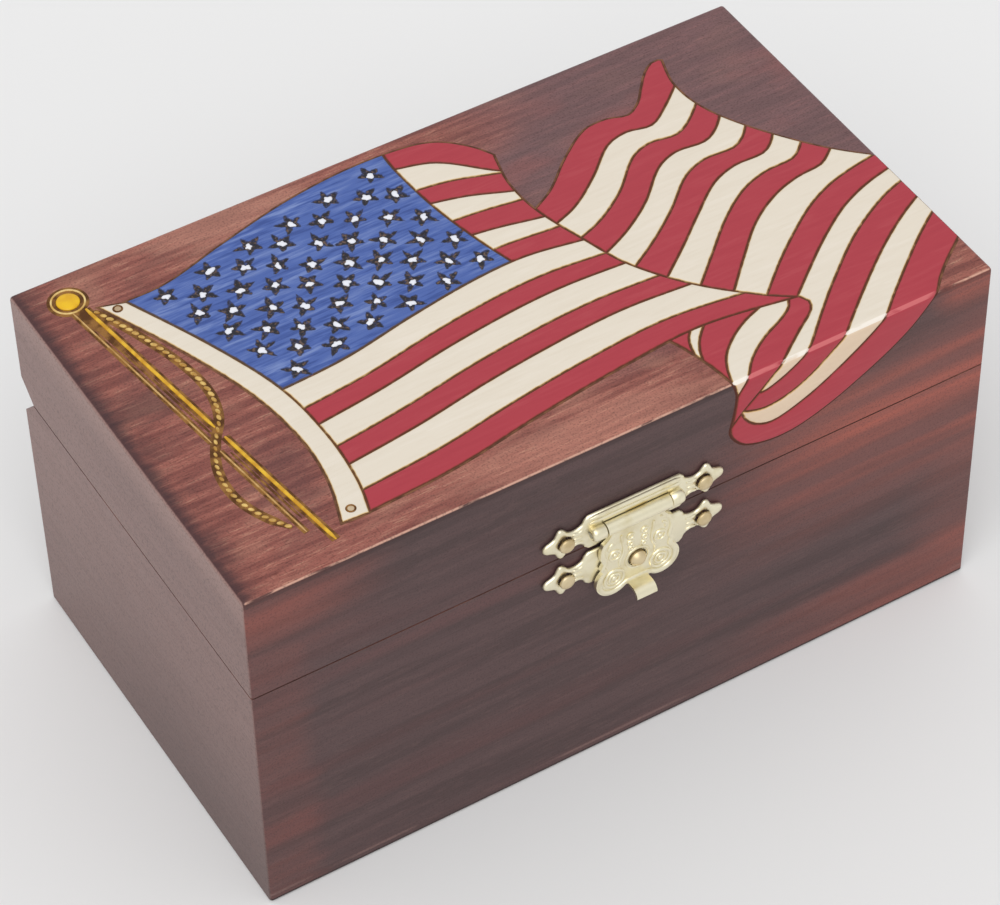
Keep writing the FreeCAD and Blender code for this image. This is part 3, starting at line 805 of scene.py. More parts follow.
# The short stripes beside the canton: s at the canton, s at the fold, and how far each line bows up
SHORT_LINES = (
    (35.3, 25.1, 3), (28.6, 24.5, 0.9), (24.3, 18.8, 0.9),
    (18.1, 16.2, 0.4), (13.3, 10.3, 0.5), (7.6, 6.7, 0.4),
)
SHORT_RUN = 16
SHORT_REACH = (1.2, 3)
SHORT_START = -2.5
SHORT_MIDDLE = 6.25
SHORT_FOLD = 15
SHORT_END = 19

# Rows of the near panel's long stripes: under the canton, at mid height and along the foot
NEAR_ROWS = (
    ((-48.5, -3.4), (-33, -2.3), (-18, 0.6), (-4, 2.7), (7, 3.1), (19.5, 1)),
    ((-46.5, -20.4), (-31, -18.4), (-15, -15.6), (0, -13.8), (12, -13.2), (26, -13.9)),
    ((-50, -36.5), (-30, -35.2), (-12, -32.2), (6, -29.8), (24, -28.6), (43.6, -31.6)),
)
NEAR_PLACES = (0.0, 0.524, 1.0)
LONG_STRIPES = 6
WHITE_SHARE = 0.19
RED_SHARE = (1 - 3 * WHITE_SHARE) / 3

# Rows of the far panel, every third line from its top edge down
FAR_ROWS = (
    ((13.8, 12.2), (20, 15.7), (27, 21.8), (34, 26.5), (39, 26.9), (43.5, 25.8), (49, 30), (57.4, 36.9)),
    ((18.6, -4.4), (26, -0.9), (33, 3.8), (40, 10.3), (45, 12.3), (51, 11.9), (54.5, 13.6), (58.4, 17.4)),
    ((28.6, -20.6), (36, -13.8), (43, -7.5), (50, -2.8),
     (56, -0.9), (62, -0.6), (64.5, 0.9), (67.2, 3.7)),
    ((41, -32.4), (48, -26.7), (55, -21.3), (62, -16.7),
     (67, -14.4), (71, -13.1), (74, -12.4), (78, -11.5)),
)
FAR_PLACES = (0, 3, 6, 9)

# The far panel's top edge, with its rounded tip, and the line that runs out to its corner
FAR_TOP = through(FAR_ROWS[0][:5] + (
    (43.2, 25.7), (46.6, 27.7), (49.2, 30.7), (52.3, 34.2), (54.8, 35.9), (56.3, 36), (57.6, 35.2),
))
FAR_CORNER = through([
    (36.8, -29.2), (44.5, -22.4), (51.5, -17), (58, -12.7), (64, -10), (69, -8.7), (73, -8), (78, -7.3),
])
FLY = through([
    (57.3, 37), (56.7, 34.8), (55.8, 32), (55.1, 28.5), (55.5, 22.5), (57.8, 15.8), (62.8, 7.2),
    (69.7, -2), (78, -10.2),
])
LID_EDGE = through([(LID_RIGHT - 0.3, 0), (LID_RIGHT - 0.3, -40)], spacing=8.0)

# Lines of the tail that hangs over the front arris
TAIL_LINES = tuple(through(points) for points in (
    (
        (78, -15.3), (70, -18), (60, -23.6), (50, -31.4), (43.5, -37.1), (37.3, -42.8), (33, -46),
        (29, -48), (26.6, -48.5), (25.2, -47.6),
    ),
    (
        (78, -19.8), (70, -24), (61, -30), (48.5, -40), (40.5, -47), (36, -50.3), (31.5, -52.2),
        (27.5, -52.7), (24, -51.8), (22, -50.6),
    ),
    (
        (78, -24.2), (69.5, -30), (57, -40), (49, -47), (40, -53), (33.5, -56), (29, -57), (25.4, -55.7),
        (23.2, -53.2), (22.4, -50.9),
    ),
    (
        (78, -32), (67.3, -40), (57.8, -50), (45.5, -57.5), (36, -61.2), (29.5, -61.7), (23.6, -60),
        (20.7, -56.7), (20.3, -54.4), (20.9, -52.6),
    ),
))
FINGER = through([
    (41.2, -30), (42.6, -31.6), (43.4, -33.4), (42.4, -35.4), (37.5, -38.8), (31, -43.6), (26.4, -48),
    (23, -51.2), (19.6, -55),
])
HANG_LEFT = through([
    (16.6, -27.4), (18.3, -32), (19.7, -37.5), (20.7, -43.6), (21.5, -46.6), (21.2, -50.5), (20.2, -55.4),
])
HANG_LINES = tuple(through(points) for points in (
    ((22.4, -27.6), (20.4, -29.8), (19.3, -32.2), (18.6, -35.6)),
    ((25.2, -27.8), (22, -30.9), (20.2, -33.6), (19, -37)),
    ((37.6, -29.3), (31, -31.6), (26.5, -34.3), (23.3, -37.3), (21.4, -40.8), (20.2, -44.8)),
    (
        (41.2, -29.6), (39.6, -32.6), (36.5, -34.6), (31.5, -36.9), (27, -40), (24.3, -43), (22.6, -45.4),
        (20.8, -48.2),
    ),
))


def short_line(start, end, bow):
    """One line between two short stripes: a shallow bow from the canton to the fold, drawn on past both."""
    slope = (end - start) / SHORT_RUN
    before, after = SHORT_REACH
    return through([
        (SHORT_START, start - slope * before),
        (SHORT_MIDDLE, (start + end) / 2 + bow),
        (SHORT_FOLD, end),
        (SHORT_END, end + slope * after),
    ])


def near_lines():
    """Lines of the six long stripes of the near panel, from the canton's foot down."""
    lines = []
    place = 0.0
    for k in range(LONG_STRIPES + 1):
        lines.append(between_rows(NEAR_ROWS, NEAR_PLACES, place))
        place += WHITE_SHARE if k % 2 == 0 else RED_SHARE
    return lines


# Star marks


STAR_CORNERS = ((-52.5, 28.0), (-6.0, 36.9), (-41.3, 0.2), (-0.2, 6.6))
STAR_ROWS = 9
STAR_COLUMNS = 11
STAR_REACH = 3.4
STAR_WAIST = 1.5
STAR_TIPS = 5
STAR_STEPS = 6
STAR_CURVES = (0.62, 1.6)

# Ranges of the unevenness that is drawn for each star mark
STAR_DRIFT = (-0.4, 0.4)
STAR_TURN = (-0.25, 0.25)
TIP_SPREAD = (0.78, 1.1)
WAIST_SPREAD = (0.82, 1.12)
FRAY = (-0.1, 0.1)

# The dab of white paint in each mark, with ranges for its unevenness
DAB_POINTS = 20
DAB_FOOT = 0.11
DAB_RISE = 0.27
DAB_STRETCH = (0.0, 0.35)
DAB_DRIFT = (-0.25, 0.25)
DAB_SIZE = (0.6, 0.82)
DAB_WAVES = (3, 4, 5)
WAVE_DEPTH = (0.04, 0.16)
WAVE_START = (0, 6.3)

# The burned edge round the whole flag: inset and height of its four corners
BORDER = ((0.06, 0.05), (-0.3, 0.02), (-0.3, -FIELD_SINK), (0.06, -FIELD_SINK))


def star_places():
    """Fifty star centres: nine slanting rows, six and five in turn."""
    left_top, right_top, left_foot, right_foot = [Vector(corner) for corner in STAR_CORNERS]
    places = []
    for row in range(STAR_ROWS):
        down = row / (STAR_ROWS - 1)
        left = left_top.lerp(left_foot, down)
        right = right_top.lerp(right_foot, down)
        for column in range(row % 2, STAR_COLUMNS, 2):
            places.append(left.lerp(right, column / (STAR_COLUMNS - 1)))
    return places


def drift(chance, reach):
    return Vector((chance.uniform(*reach), chance.uniform(*reach)))


def star_mark(centre, chance):
    """A ragged five-pointed mark, burned freehand."""
    turn = chance.uniform(*STAR_TURN)
    reaches = []
    for tip in range(STAR_TIPS):
        reaches.append(STAR_REACH * chance.uniform(*TIP_SPREAD))
        reaches.append(STAR_WAIST * chance.uniform(*WAIST_SPREAD))
    points = []
    for k, here in enumerate(reaches):
        there = reaches[(k + 1) % len(reaches)]
        for step in range(STAR_STEPS):
            share = step / STAR_STEPS
            reach = here + (there - here) * share ** STAR_CURVES[k % 2]
            reach += chance.uniform(*FRAY)
            angle = math.pi / 2 + turn + (k + share) * math.pi / STAR_TIPS
            points.append((centre.x + reach * math.cos(angle), centre.y + reach * math.sin(angle)))
    return np.array(points)


def star_paint_shape(centre, chance):
    """The outline of one dab of white paint: small, uneven and sometimes drawn out."""
    stretch = chance.uniform(*DAB_STRETCH)
    lean = chance.uniform(0, math.pi)
    middle = centre + drift(chance, DAB_DRIFT)
    size = chance.uniform(*DAB_SIZE)
    waves = [(count, chance.uniform(*WAVE_DEPTH), chance.uniform(*WAVE_START)) for count in DAB_WAVES]
    points = []
    for k in range(DAB_POINTS):
        angle = 2 * math.pi * k / DAB_POINTS
        reach = size * (1 + stretch * math.cos(2 * (angle - lean)))
        for count, depth, start in waves:
            reach *= 1 + depth * math.cos(count * angle + start)
        points.append((middle.x + reach * math.cos(angle), middle.y + reach * math.sin(angle)))
    return np.array(points)


def make_flag():
    red = painted(
        "red_paint", rgb(173, 62, 73), rgb(155, 51, 63), rgb(204, 107, 110),
        rgb(142, 60, 54), rgb(96, 52, 36), streak=0.15,
    )
    cream = painted(
        "cream_paint", rgb(228, 218, 202), rgb(220, 208, 190), rgb(242, 234, 223),
        rgb(216, 182, 122), rgb(106, 70, 40), front_shade_tint=rgb(250, 222, 196),
    )
    blue = painted(
        "blue_paint", rgb(79, 103, 170), rgb(54, 76, 140), rgb(134, 153, 203),
        rgb(84, 76, 88), rgb(92, 70, 52), streak=0.75,
    )
    white = painted(
        "star_paint", rgb(234, 236, 244), rgb(222, 224, 234), rgb(248, 248, 250),
        rgb(214, 178, 116), rgb(104, 68, 38),
    )
    burned = scorched("burned_outline", rgb(86, 56, 40), rgb(128, 88, 62))
    finishes = {"red": (red, "carved_red"), "cream": (cream, "carved_cream")}

    def stripes(name, outlines, *tones):
        for k, ring in enumerate(outlines):
            tone = tones[k % 2]
            field(f"{name}_{k + 1:02d}_{tone}", ring, *finishes[tone])

    band = outline(HOIST_TOP, HOIST_INNER, HOIST_FOOT, HOIST_OUTER)
    field("flag_hoist_band", band, cream, "carved_cream")
    long_lines = near_lines()
    chance = random.Random(SEED)
    centres = [place + drift(chance, STAR_DRIFT) for place in star_places()]
    marks = [star_mark(centre, chance) for centre in centres]
    canton = outline(TOP_EDGE, CANTON_EDGE, long_lines[0], HOIST_INNER)
    field("flag_canton", canton, blue, "carved_blue", marks)
    paint = Shape(wrap)
    for centre in centres:
        paint.dome(star_paint_shape(centre, chance), DAB_FOOT, DAB_RISE)
    paint.piece("flag_star_paint", "lid", "carved_cream", white)

    short = [TOP_EDGE] + [short_line(*line) for line in SHORT_LINES] + [long_lines[0]]
    rings = [outline(a, FOLD, b, CANTON_EDGE) for a, b in zip(short, short[1:])]
    stripes("flag_short_stripe", rings, "red", "cream")
    rings = [outline(a, FOLD, b, HOIST_INNER) for a, b in zip(long_lines, long_lines[1:])]
    stripes("flag_long_stripe", rings, "cream", "red")
    far = [FAR_TOP] + [between_rows(FAR_ROWS, FAR_PLACES, k) for k in range(1, 8)]
    far += [FAR_CORNER, between_rows(FAR_ROWS, FAR_PLACES, 9)]
    rings = [outline(a, FLY, b, FOLD) for a, b in zip(far[:9], far[1:9])]
    rings.append(outline(far[8], FLY, LID_EDGE, far[9], FOLD))
    tail = (far[9],) + TAIL_LINES
    rings += [outline(a, LID_EDGE, b, FINGER) for a, b in zip(tail, tail[1:])]
    stripes("flag_fly_stripe", rings, "red", "cream")
    foot = long_lines[-1]
    rings = [outline(foot, HANG_LINES[0], HANG_LEFT)]
    rings += [outline(foot, b, HANG_LEFT, a) for a, b in zip(HANG_LINES, HANG_LINES[1:] + (FINGER,))]
    stripes("flag_hanging_stripe", rings, "red", "cream")
    upper = (HOIST_TOP, TOP_EDGE, FOLD, far[0], FLY, LID_EDGE)
    whole = outline(*upper, TAIL_LINES[-1], HANG_LEFT, foot, HOIST_FOOT, HOIST_OUTER)
    insets, heights = zip(*BORDER)
    border = Shape(wrap)
    border.add_rings([shrunk(whole, inset) for inset in insets], heights, True)
    border.piece("flag_burned_outline", "lid", "burned_wood", burned)


# The pole beside the flag, with the rope carved round it


POLES = (
    {"top": (-68.4, 33.2), "foot": (-59.0, -34.8), "groove": 0.6, "ridge": 0.18, "gap": (-8.0, -10.5)},
    {"top": (-65.9, 33.0), "foot": (-55.6, -38.8), "groove": 0.85, "ridge": 0.37, "gap": (-5.1, -7.9)},
)
GROOVE_STEPS = 4
GROOVE_RISE = 0.05
RIDGE_FOOT = 0.03
RIDGE_RISE = 0.26
TAPERED = ((0.0, 0.6), (0.03, 1.0), (0.95, 1.0), (1.0, 0.4))

# The dark hollow between the poles
HOLLOW_END = 0.57
HOLLOW_HALF = 0.75
HOLLOW_RISE = 0.04
HOLLOW_SWELL = ((0.0, 1.0), (0.12, 0.8), (0.35, 0.4), (1.0, 0.25))

# Thin burned lines between the poles: shifts from the left pole, then start, end and half-width
THIN_SHIFTS = (-0.15, 0.55, 1.25)
THIN_TOP = 1.2
THIN_FOOT = 1.5
THIN_LENGTHS = ((0.02, 0.58, 0.16), (0.66, 0.95, 0.24))

ROPE = through([
    (-65.0, 31.8), (-62.7, 26.5), (-60.3, 19.8), (-58.3, 13.0), (-57.2, 6.5), (-57.3, 1.5), (-58.9, -3.6),
    (-62.0, -8.2), (-64.6, -13.5), (-65.5, -18.5), (-65.0, -23.5), (-63.2, -28.3), (-60.6, -32.6),
], spacing=0.5)
ROPE_HALF = 0.95
ROPE_RISE = 0.07
ROPE_STEP = 1.5
ROPE_SIZES = ((0.0, 0.75), (0.06, 0.95), (0.45, 1.0), (0.62, 0.8), (0.8, 0.85), (1.0, 0.9))
BEAD_SIDES = 12
BEAD_SLANT = math.radians(24)
BEAD_LONG = 0.74
BEAD_WIDE = 0.4
BEAD_RISE = 0.3
BEAD_SPREAD = (0.92, 1.08)
LOOK_AHEAD = 0.01

# Rings are a radius, half-width, foot and rise; round forms are pairs of radius and height
FINIAL = (-67.8, 36.3)
FINIAL_GROOVES = ((3.4, 0.42, 0.0, 0.06), (2.55, 0.42, 0.0, 0.06))
FINIAL_RING = (3.05, 0.2, 0.02, 0.24)
FINIAL_DISC = ((2.15, -FIELD_SINK), (2.15, 0.12), (2.0, 0.26), (1.5, 0.34), (0.8, 0.38), (0.2, 0.39))
GROMMETS = ((-61.2, 29.8), (-50.2, -34.2))
GROMMET_RIM = (0.78, 0.2, 0.3, 0.12)
GROMMET_EYE = ((0.62, 0.2), (0.62, 0.33), (0.3, 0.34), (0.1, 0.35))


def pole_lines(pole):
    """The two lengths of one pole line, above and below the rope that crosses it."""
    top = Vector(pole["top"])
    foot = Vector(pole["foot"])
    places = [(top.y - s) / (top.y - foot.y) for s in (top.y,) + pole["gap"] + (foot.y,)]
    ends = [top.lerp(foot, place) for place in places]
    return through(ends[:2]), through(ends[2:])


def rope_beads(chance):
    """Outlines of the slanting beads that follow the rope."""
    spots = np.array([(point.x, point.y) for point in ROPE])
    steps = np.linalg.norm(np.diff(spots, axis=0), axis=1)
    places = np.concatenate([[0], np.cumsum(steps)]) / steps.sum()
    count = round(steps.sum() / ROPE_STEP)
    angles = np.arange(BEAD_SIDES) * 2 * math.pi / BEAD_SIDES

    def spot(place):
        return np.array([np.interp(place, places, spots[:, k]) for k in (0, 1)])

    beads = []
    for place in (np.arange(count) + 0.5) / count:
        centre = spot(place)
        slant = math.atan2(*(spot(place + LOOK_AHEAD) - centre)[::-1]) + BEAD_SLANT
        size = np.interp(place, *zip(*ROPE_SIZES)) * chance.uniform(*BEAD_SPREAD)
        long = np.array([math.cos(slant), math.sin(slant)]) * BEAD_LONG * size
        wide = np.array([-math.sin(slant), math.cos(slant)]) * BEAD_WIDE * size
        beads.append(centre + np.outer(np.cos(angles), long) + np.outer(np.sin(angles), wide))
    return beads


def make_pole():
    burned = scorched("burned_groove", rgb(88, 54, 24), rgb(150, 106, 56))
    gold = gold_paint("gold_paint", rgb(202, 148, 20), rgb(234, 188, 46))
    dull = gold_paint("dull_gold_paint", rgb(176, 132, 66), rgb(212, 174, 112))
    pale = gold_paint("pale_gold_paint", rgb(206, 164, 84), rgb(236, 208, 140))
    bright = gold_paint("bead_paint", rgb(176, 130, 50), rgb(228, 194, 114))
    yellow = gold_paint("finial_paint", rgb(224, 170, 6), rgb(238, 190, 14))
    tan = gold_paint("grommet_paint", rgb(178, 152, 118), rgb(206, 184, 152))
    grooves = Shape(wrap)
    for pole, ridge_finish, name in zip(POLES, (dull, gold), ("left", "right")):
        ridge = Shape(wrap)
        for line in pole_lines(pole):
            grooves.bar(line, pole["groove"], 0.0, GROOVE_RISE, steps=GROOVE_STEPS)
            ridge.bar(line, pole["ridge"], RIDGE_FOOT, RIDGE_RISE, TAPERED)
        ridge.piece(f"pole_{name}_line", "lid", "carved_gold", ridge_finish)
    top, foot = [(Vector(POLES[0][end]) + Vector(POLES[1][end])) / 2 for end in ("top", "foot")]
    hollow = through([top, top.lerp(foot, HOLLOW_END)])
    grooves.bar(hollow, HOLLOW_HALF, 0.0, HOLLOW_RISE, HOLLOW_SWELL, GROOVE_STEPS)
    for shift in THIN_SHIFTS:
        top = Vector(POLES[0]["top"]) + Vector((THIN_TOP + shift, 0.0))
        foot = Vector(POLES[0]["foot"]) + Vector((THIN_FOOT + shift, 0.0))
        for start, end, half in THIN_LENGTHS:
            line = through([top.lerp(foot, start), top.lerp(foot, end)])
            grooves.bar(line, half, 0.0, GROOVE_RISE, TAPERED, GROOVE_STEPS)
    grooves.bar(ROPE, ROPE_HALF, 0.0, ROPE_RISE, TAPERED, GROOVE_STEPS)
    for groove in FINIAL_GROOVES:
        grooves.ridge(FINIAL, *groove)
    for grommet in GROMMETS:
        grooves.ridge(grommet, *GROMMET_RIM)
    grooves.piece("pole_burned_grooves", "lid", "burned_wood", burned)
    beads = Shape(wrap)
    for bead in rope_beads(random.Random(SEED)):
        beads.dome(bead, ROPE_RISE, BEAD_RISE)
    beads.piece("pole_carved_rope_beads", "lid", "carved_gold", bright)
    ring = Shape(wrap)
    ring.ridge(FINIAL, *FINIAL_RING)
    ring.piece("pole_finial_ring", "lid", "carved_gold", pale)
    disc = Shape(wrap)
    disc.turned(FINIAL, FINIAL_DISC)
    disc.piece("pole_finial_disc", "lid", "carved_gold", yellow)
    eyes = Shape(wrap)
    for grommet in GROMMETS:
        eyes.turned(grommet, GROMMET_EYE)
    eyes.piece("flag_grommet_eyes", "lid", "carved_cream", tan)


# The latch, as x and z on the box's front with heights out from the wood


UPPER_MIDDLE = 60.3
LOWER_MIDDLE = 51.05
PLATE_BODY = [(4.8, 4.0), (9.5, 4.0)]
PLATE_FINIAL = [
    (10.3, 3.3), (10.6, 2.6), (11.4, 2.05), (12.6, 1.85), (13.5, 2.15), (14.2, 2.95), (14.8, 3.45),
    (15.4, 3.4), (15.9, 2.75), (16.3, 1.9), (17.1, 1.4), (18.0, 1.05), (18.6, 0.5), (18.7, 0.0),
]
PLATE_EDGE = ((0.0, 0.55), (0.08, 0.82), (0.25, 1.0), (0.55, 1.1))
PLATE_UNDERCUT = ((0.0, 0.42), (0.5, 0.42), (1.0, 0.0))
PLATE_FACE = 1.05
PLATE_FLUTES = (
    ((10.7, 1.5), (11.6, 1.15), (12.9, 1.3)),
    ((10.9, 0.0), (12.7, 0.0)),
    ((10.7, -1.5), (11.6, -1.15), (12.9, -1.3)),
)
FLUTE_HALF = 0.34
FLUTE_RISE = 0.26
FINE_SPACING = 0.3

# Two bars along the upper plate: z, half-width and height
MOULDINGS = ((63.72, 0.54, 1.5), (62.52, 0.64, 1.4))
MOULDING_END = 9.4
MOULDING_SQUARE = 0.45
BLUNT = ((0.0, 0.3), (0.03, 0.8), (0.06, 1.0), (0.94, 1.0), (0.97, 0.8), (1.0, 0.3))
WINDOW = ((-6.68, 58.55), (6.68, 58.55), (6.68, 62.05), (-6.68, 62.05))
SLOT_MIDDLE = (0.1, 62.2)
SLOT_HALVES = (2.5, 0.2)
SLOT_FOOT = 1.36
SLOT_RISE = 0.08

# The pin's height and z, and the lugs that hold it: pairs of x and radius
PIN = (1.7, 60.3)
LUG_SIDES = 28
LUG_PROFILE = (
    (6.75, 0.66), (6.75, 1.35), (6.9, 1.5), (8.7, 1.5), (9.15, 1.4), (9.45, 1.1), (9.5, 0.75), (9.2, 0.5),
)

NAIL_X = 14.3
NAIL_LIP = ((1.5, 0.8), (1.58, 1.0), (1.75, 1.1))
NAIL_HEAD = ((0.5, 1.4), (1.3, 1.42), (1.5, 1.52), (1.5, 1.8), (1.32, 2.05), (0.8, 2.17), (0.2, 2.2))
NAIL_SHANK = ((0.5, 1.5), (0.5, 0.6), (0.15, -7.4))
SQUARE = np.array([(1, 1), (-1, 1), (-1, -1), (1, -1)])

# The hasp's ornament: points are x and the drop below the pin, on its right half
HASP_FACE = 2.0
HASP_SPACING = 0.4
HASP_RIM = (
    (4.75, 2.7), (5.4, 3.2), (6.6, 4.1), (7.15, 6.1), (6.7, 8.4), (7.1, 9.6), (6.75, 10.7), (7.5, 12.0),
    (7.9, 13.5), (7.55, 15.2), (6.4, 16.3), (4.95, 16.6), (3.6, 16.3), (2.55, 15.7), (1.2, 15.6),
    (0.0, 15.6),
)
RIM_HALF = 0.55
RIM_RISE = 0.42
RIM_SWELL = ((0.0, 0.3), (0.06, 0.8), (0.2, 0.9), (0.5, 1.1), (0.8, 0.9), (0.94, 0.8), (1.0, 0.3))

# The ring round the stud, then rings in pairs: x, drop, radius, half-width and rise
STUD_RING = (0, 10.65, 2.4, 0.3, 0.24)
HASP_RINGS = (
    (4.8, 13.5, 2.0, 0.34, 0.32),
    (4.8, 13.5, 1.1, 0.28, 0.3),
    (4.7, 7.6, 1.1, 0.28, 0.3),
    (1.45, 4.4, 0.62, 0.24, 0.3),
    (1.5, 6.1, 0.5, 0.24, 0.3),
    (1.35, 7.5, 0.42, 0.24, 0.3),
)
HASP_BOSSES = ((4.8, 13.5, 1.0), (4.7, 7.6, 0.8))
BOSS = ((0.6, -FIELD_SINK), (0.55, 0.2), (0.35, 0.3), (0.1, 0.34))
BOSS_SIDES = 20

# Scrolls in pairs: points, half-width and rise
HASP_SCROLLS = (
    (((3.4, 3.2), (3.2, 5.0), (2.9, 6.6), (3.1, 8.2), (3.7, 9.6), (3.6, 11.2)), 0.28, 0.28),
    (((5.2, 4.4), (5.9, 5.2), (5.8, 6.2)), 0.34, 0.26),
)


def on_front(flat, height):
    """Lays points (x, z) on the box's front at heights out from the wood, in metres."""
    return np.stack([flat[:, 0], LID_FRONT - height, flat[:, 1]], axis=1) * MM


def below_pin(x, drop):
    return (x, PIN[1] - drop)


def plate_outline(middle):
    """A latch plate's outline: a straight-edged body that necks into a three-lobed tip at each end."""
    finial = [(point.x, point.y) for point in through(PLATE_FINIAL, FINE_SPACING)]
    quarter = np.array(PLATE_BODY + finial)
    right = np.concatenate([quarter, quarter[-2::-1] * (1, -1)])
    return np.concatenate([right, right[::-1] * (-1, 1)]) + (0, middle)


def pressed_plate(middle, windows=()):
    """A pressed plate with rounded edges, flutes and a hole for each nail."""
    ring = plate_outline(middle)
    seats = [(NAIL_X, middle), (-NAIL_X, middle)]
    windows = [np.array(window) for window in windows]
    loops = [shrunk(ring, inset) for inset, height in PLATE_EDGE]
    loops += [circle(seat, radius) for seat in seats for radius, height in NAIL_LIP] + windows
    holes = [circle(seat, NAIL_LIP[0][0]) for seat in seats] + windows
    flat, faces = triangles(ring, loops, [], holes)
    inset = reach_inside(flat, ring)
    height = np.interp(inset, *zip(*PLATE_EDGE))
    for seat in seats:
        away = np.linalg.norm(flat - np.array(seat), axis=1)
        height = np.minimum(height, np.interp(away, *zip(*NAIL_LIP)))
    plate = Shape(on_front)
    plate.relief(flat, faces, height, np.interp(inset, *zip(*PLATE_UNDERCUT)))
    for side in (-1, 1):
        for flute in PLATE_FLUTES:
            line = through([(side * x, middle + z) for x, z in flute], FINE_SPACING)
            plate.bar(line, FLUTE_HALF, PLATE_FACE, FLUTE_RISE, TAPERED)
    return plate


def add_lug(plate, side):
    """One of the two bosses that hold the latch's pin, dimpled at its outer end."""
    turns = np.arange(LUG_SIDES) * 2 * math.pi / LUG_SIDES
    rings = []
    heights = []
    for x, radius in LUG_PROFILE:
        rings.append(np.stack([np.full(LUG_SIDES, side * x), PIN[1] + radius * np.cos(turns)], axis=1))
        heights.append(PIN[0] + radius * np.sin(turns))
    plate.add_rings(rings, heights, False)


def latch_nails(middle):
    """The two nails of a plate: low rounded heads on square tapering shanks."""
    nails = Shape(on_front)
    halves, heights = zip(*NAIL_SHANK)
    for x in (-NAIL_X, NAIL_X):
        nails.turned((x, middle), NAIL_HEAD)
        nails.add_rings([SQUARE * half + (x, middle) for half in halves], heights, False)
    return nails


def hasp_ornament():
    """The hasp's raised rim, rings, bosses and scrolls."""
    relief = Shape(on_front)
    half = [below_pin(*point) for point in HASP_RIM]
    edge = through(half + [(-x, z) for x, z in half[-2::-1]], HASP_SPACING)
    relief.bar(edge, RIM_HALF, HASP_FACE, RIM_RISE, RIM_SWELL)
    pairs = [(x * side, *rest) for side in (-1, 1) for x, *rest in HASP_RINGS]
    for x, drop, radius, half_width, rise in [STUD_RING] + pairs:
        relief.ridge(below_pin(x, drop), radius, half_width, HASP_FACE, rise)
    for side in (-1, 1):
        for x, drop, scale in HASP_BOSSES:
            profile = [(radius * scale, HASP_FACE + height) for radius, height in BOSS]
            relief.turned(below_pin(x * side, drop), profile, sides=BOSS_SIDES)
        for points, half_width, rise in HASP_SCROLLS:
            line = through([below_pin(x * side, drop) for x, drop in points], HASP_SPACING)
            relief.bar(line, half_width, HASP_FACE, rise, TAPERED)
    return relief


def make_latch(brass, nails, dull):
    upper = pressed_plate(UPPER_MIDDLE, [WINDOW])
    for z, half_width, height in MOULDINGS:
        line = through([(-MOULDING_END, z), (MOULDING_END, z)], spacing=1.0)
        upper.bar(line, half_width, PLATE_FACE, height - PLATE_FACE, BLUNT, square=MOULDING_SQUARE)
    for side in (-1, 1):
        add_lug(upper, side)
    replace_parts(upper.piece("latch_pressed_hinge_plate", "lid", "latch_brass", brass), "latch_hinge_plate")
    lower = pressed_plate(LOWER_MIDDLE)
    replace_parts(lower.piece("latch_pressed_catch_plate", "base", "latch_brass", brass), "latch_catch_plate")
    for name, body, middle in (("hinge", "lid", UPPER_MIDDLE), ("catch", "base", LOWER_MIDDLE)):
        piece = latch_nails(middle).piece(f"latch_round_{name}_nails", body, "nail_brass", nails)
        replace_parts(piece, f"latch_{name}_plate_nails")
    slot = Shape(on_front)
    slot.dome(circle((0.0, 0.0), 1.0) * SLOT_HALVES + SLOT_MIDDLE, SLOT_FOOT, SLOT_RISE)
    slot.piece("latch_hinge_slot", "lid", "hinge_brass", dull)
    hasp_ornament().piece("latch_hasp_pressed_ornament", "hasp", "latch_brass", brass)


def make_camera():
    data = bpy.data.cameras.new("camera")
    data.sensor_fit = "HORIZONTAL"
    data.sensor_width = SENSOR_WIDTH
    data.lens = LENS
    camera = new_object("camera", data)
    camera.location = CAMERA_PLACE
    camera.rotation_mode = "QUATERNION"
    level = CAMERA_DIRECTION.to_track_quat("-Z", "Y")
    camera.rotation_quaternion = level @ Quaternion((0.0, 0.0, 1.0), CAMERA_ROLL)
    bpy.context.scene.camera = camera


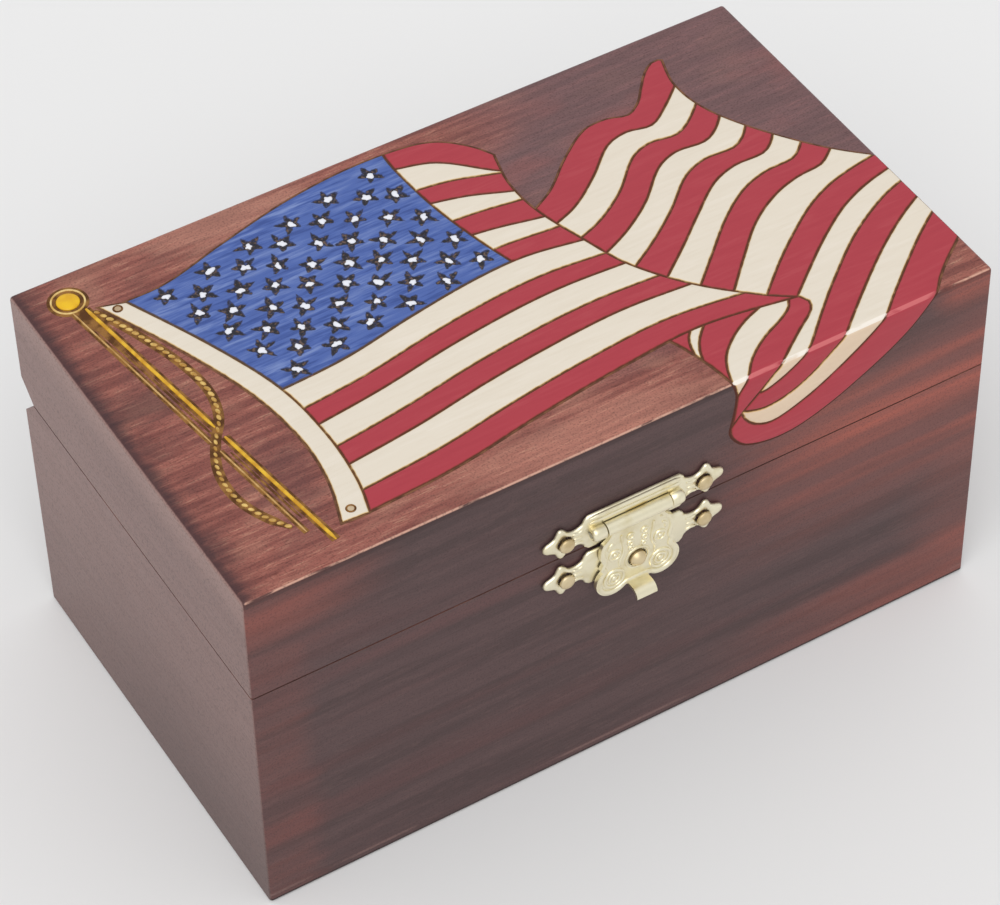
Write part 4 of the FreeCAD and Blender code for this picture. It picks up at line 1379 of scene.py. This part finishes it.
def make_light():
    world = bpy.data.worlds.new("surround")
    bpy.context.scene.world = world
    world.use_nodes = True
    background = world.node_tree.nodes["Background"]
    background.inputs["Color"].default_value = (1.0, 1.0, 1.0, 1.0)
    background.inputs["Strength"].default_value = SURROUND_STRENGTH
    data = bpy.data.lights.new("lamp", "SUN")
    data.energy = LAMP_STRENGTH
    data.angle = LAMP_SPREAD
    new_object("lamp", data).rotation_euler = LAMP_TILT
    bpy.context.scene.view_settings.view_transform = "Standard"


def make_floor():
    half = FLOOR_SIDE / 2
    corners = [(-half, -half, 0), (half, -half, 0), (half, half, 0), (-half, half, 0)]
    mesh = bpy.data.meshes.new("floor")
    mesh.from_pydata(corners, [], [(0, 1, 2, 3)])
    mesh.materials.append(floor_finish())
    floor = new_object("floor", mesh)


def finish_cad_nodes(brass, nails, dull):
    """Gives every CAD node its finish."""
    walls = {
        "front": board("stained_front_wood", "front"),
        "back": board("stained_back_wood", "back"),
        "left": board("stained_left_wood", "left", "front", "back", grain=GRAIN_Y),
        "right": board("stained_right_wood", "right", "front", "back", grain=GRAIN_Y),
    }
    finishes = {
        "lid_top_board": board("stained_top_wood", "top", "front", "back", "left", "right"),
        "bottom_board": board("stained_bottom_wood", "front", "back", "left", "right", "underside"),
    }
    for side, finish in walls.items():
        finishes[f"lid_{side}_wall"] = finish
        finishes[f"base_{side}_wall"] = finish
    steel = metal("pin_steel_finish", rgb(178, 176, 170), rgb(140, 136, 130), 0.25, 0.4)
    for name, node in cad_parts.items():
        if name in finishes:
            finish = finishes[name]
        elif "nails" in name or "stud" in name:
            finish = nails
        elif name.endswith("_pin"):
            finish = steel
        elif name.endswith("_leaf"):
            finish = dull
        else:
            finish = brass
        node.data.materials.clear()
        node.data.materials.append(finish)


make_camera()
make_light()
make_floor()
brass = metal("latch_brass_finish", rgb(246, 238, 208), rgb(230, 218, 178), 0.3, 0.46, 0.6)
nails = metal("nail_brass_finish", rgb(228, 210, 172), rgb(206, 184, 140), 0.4, 0.55)
dull = metal("hinge_brass_finish", rgb(214, 192, 124), rgb(186, 160, 96), 0.25, 0.42)
finish_cad_nodes(brass, nails, dull)
make_flag()
make_pole()
make_latch(brass, nails, dull)
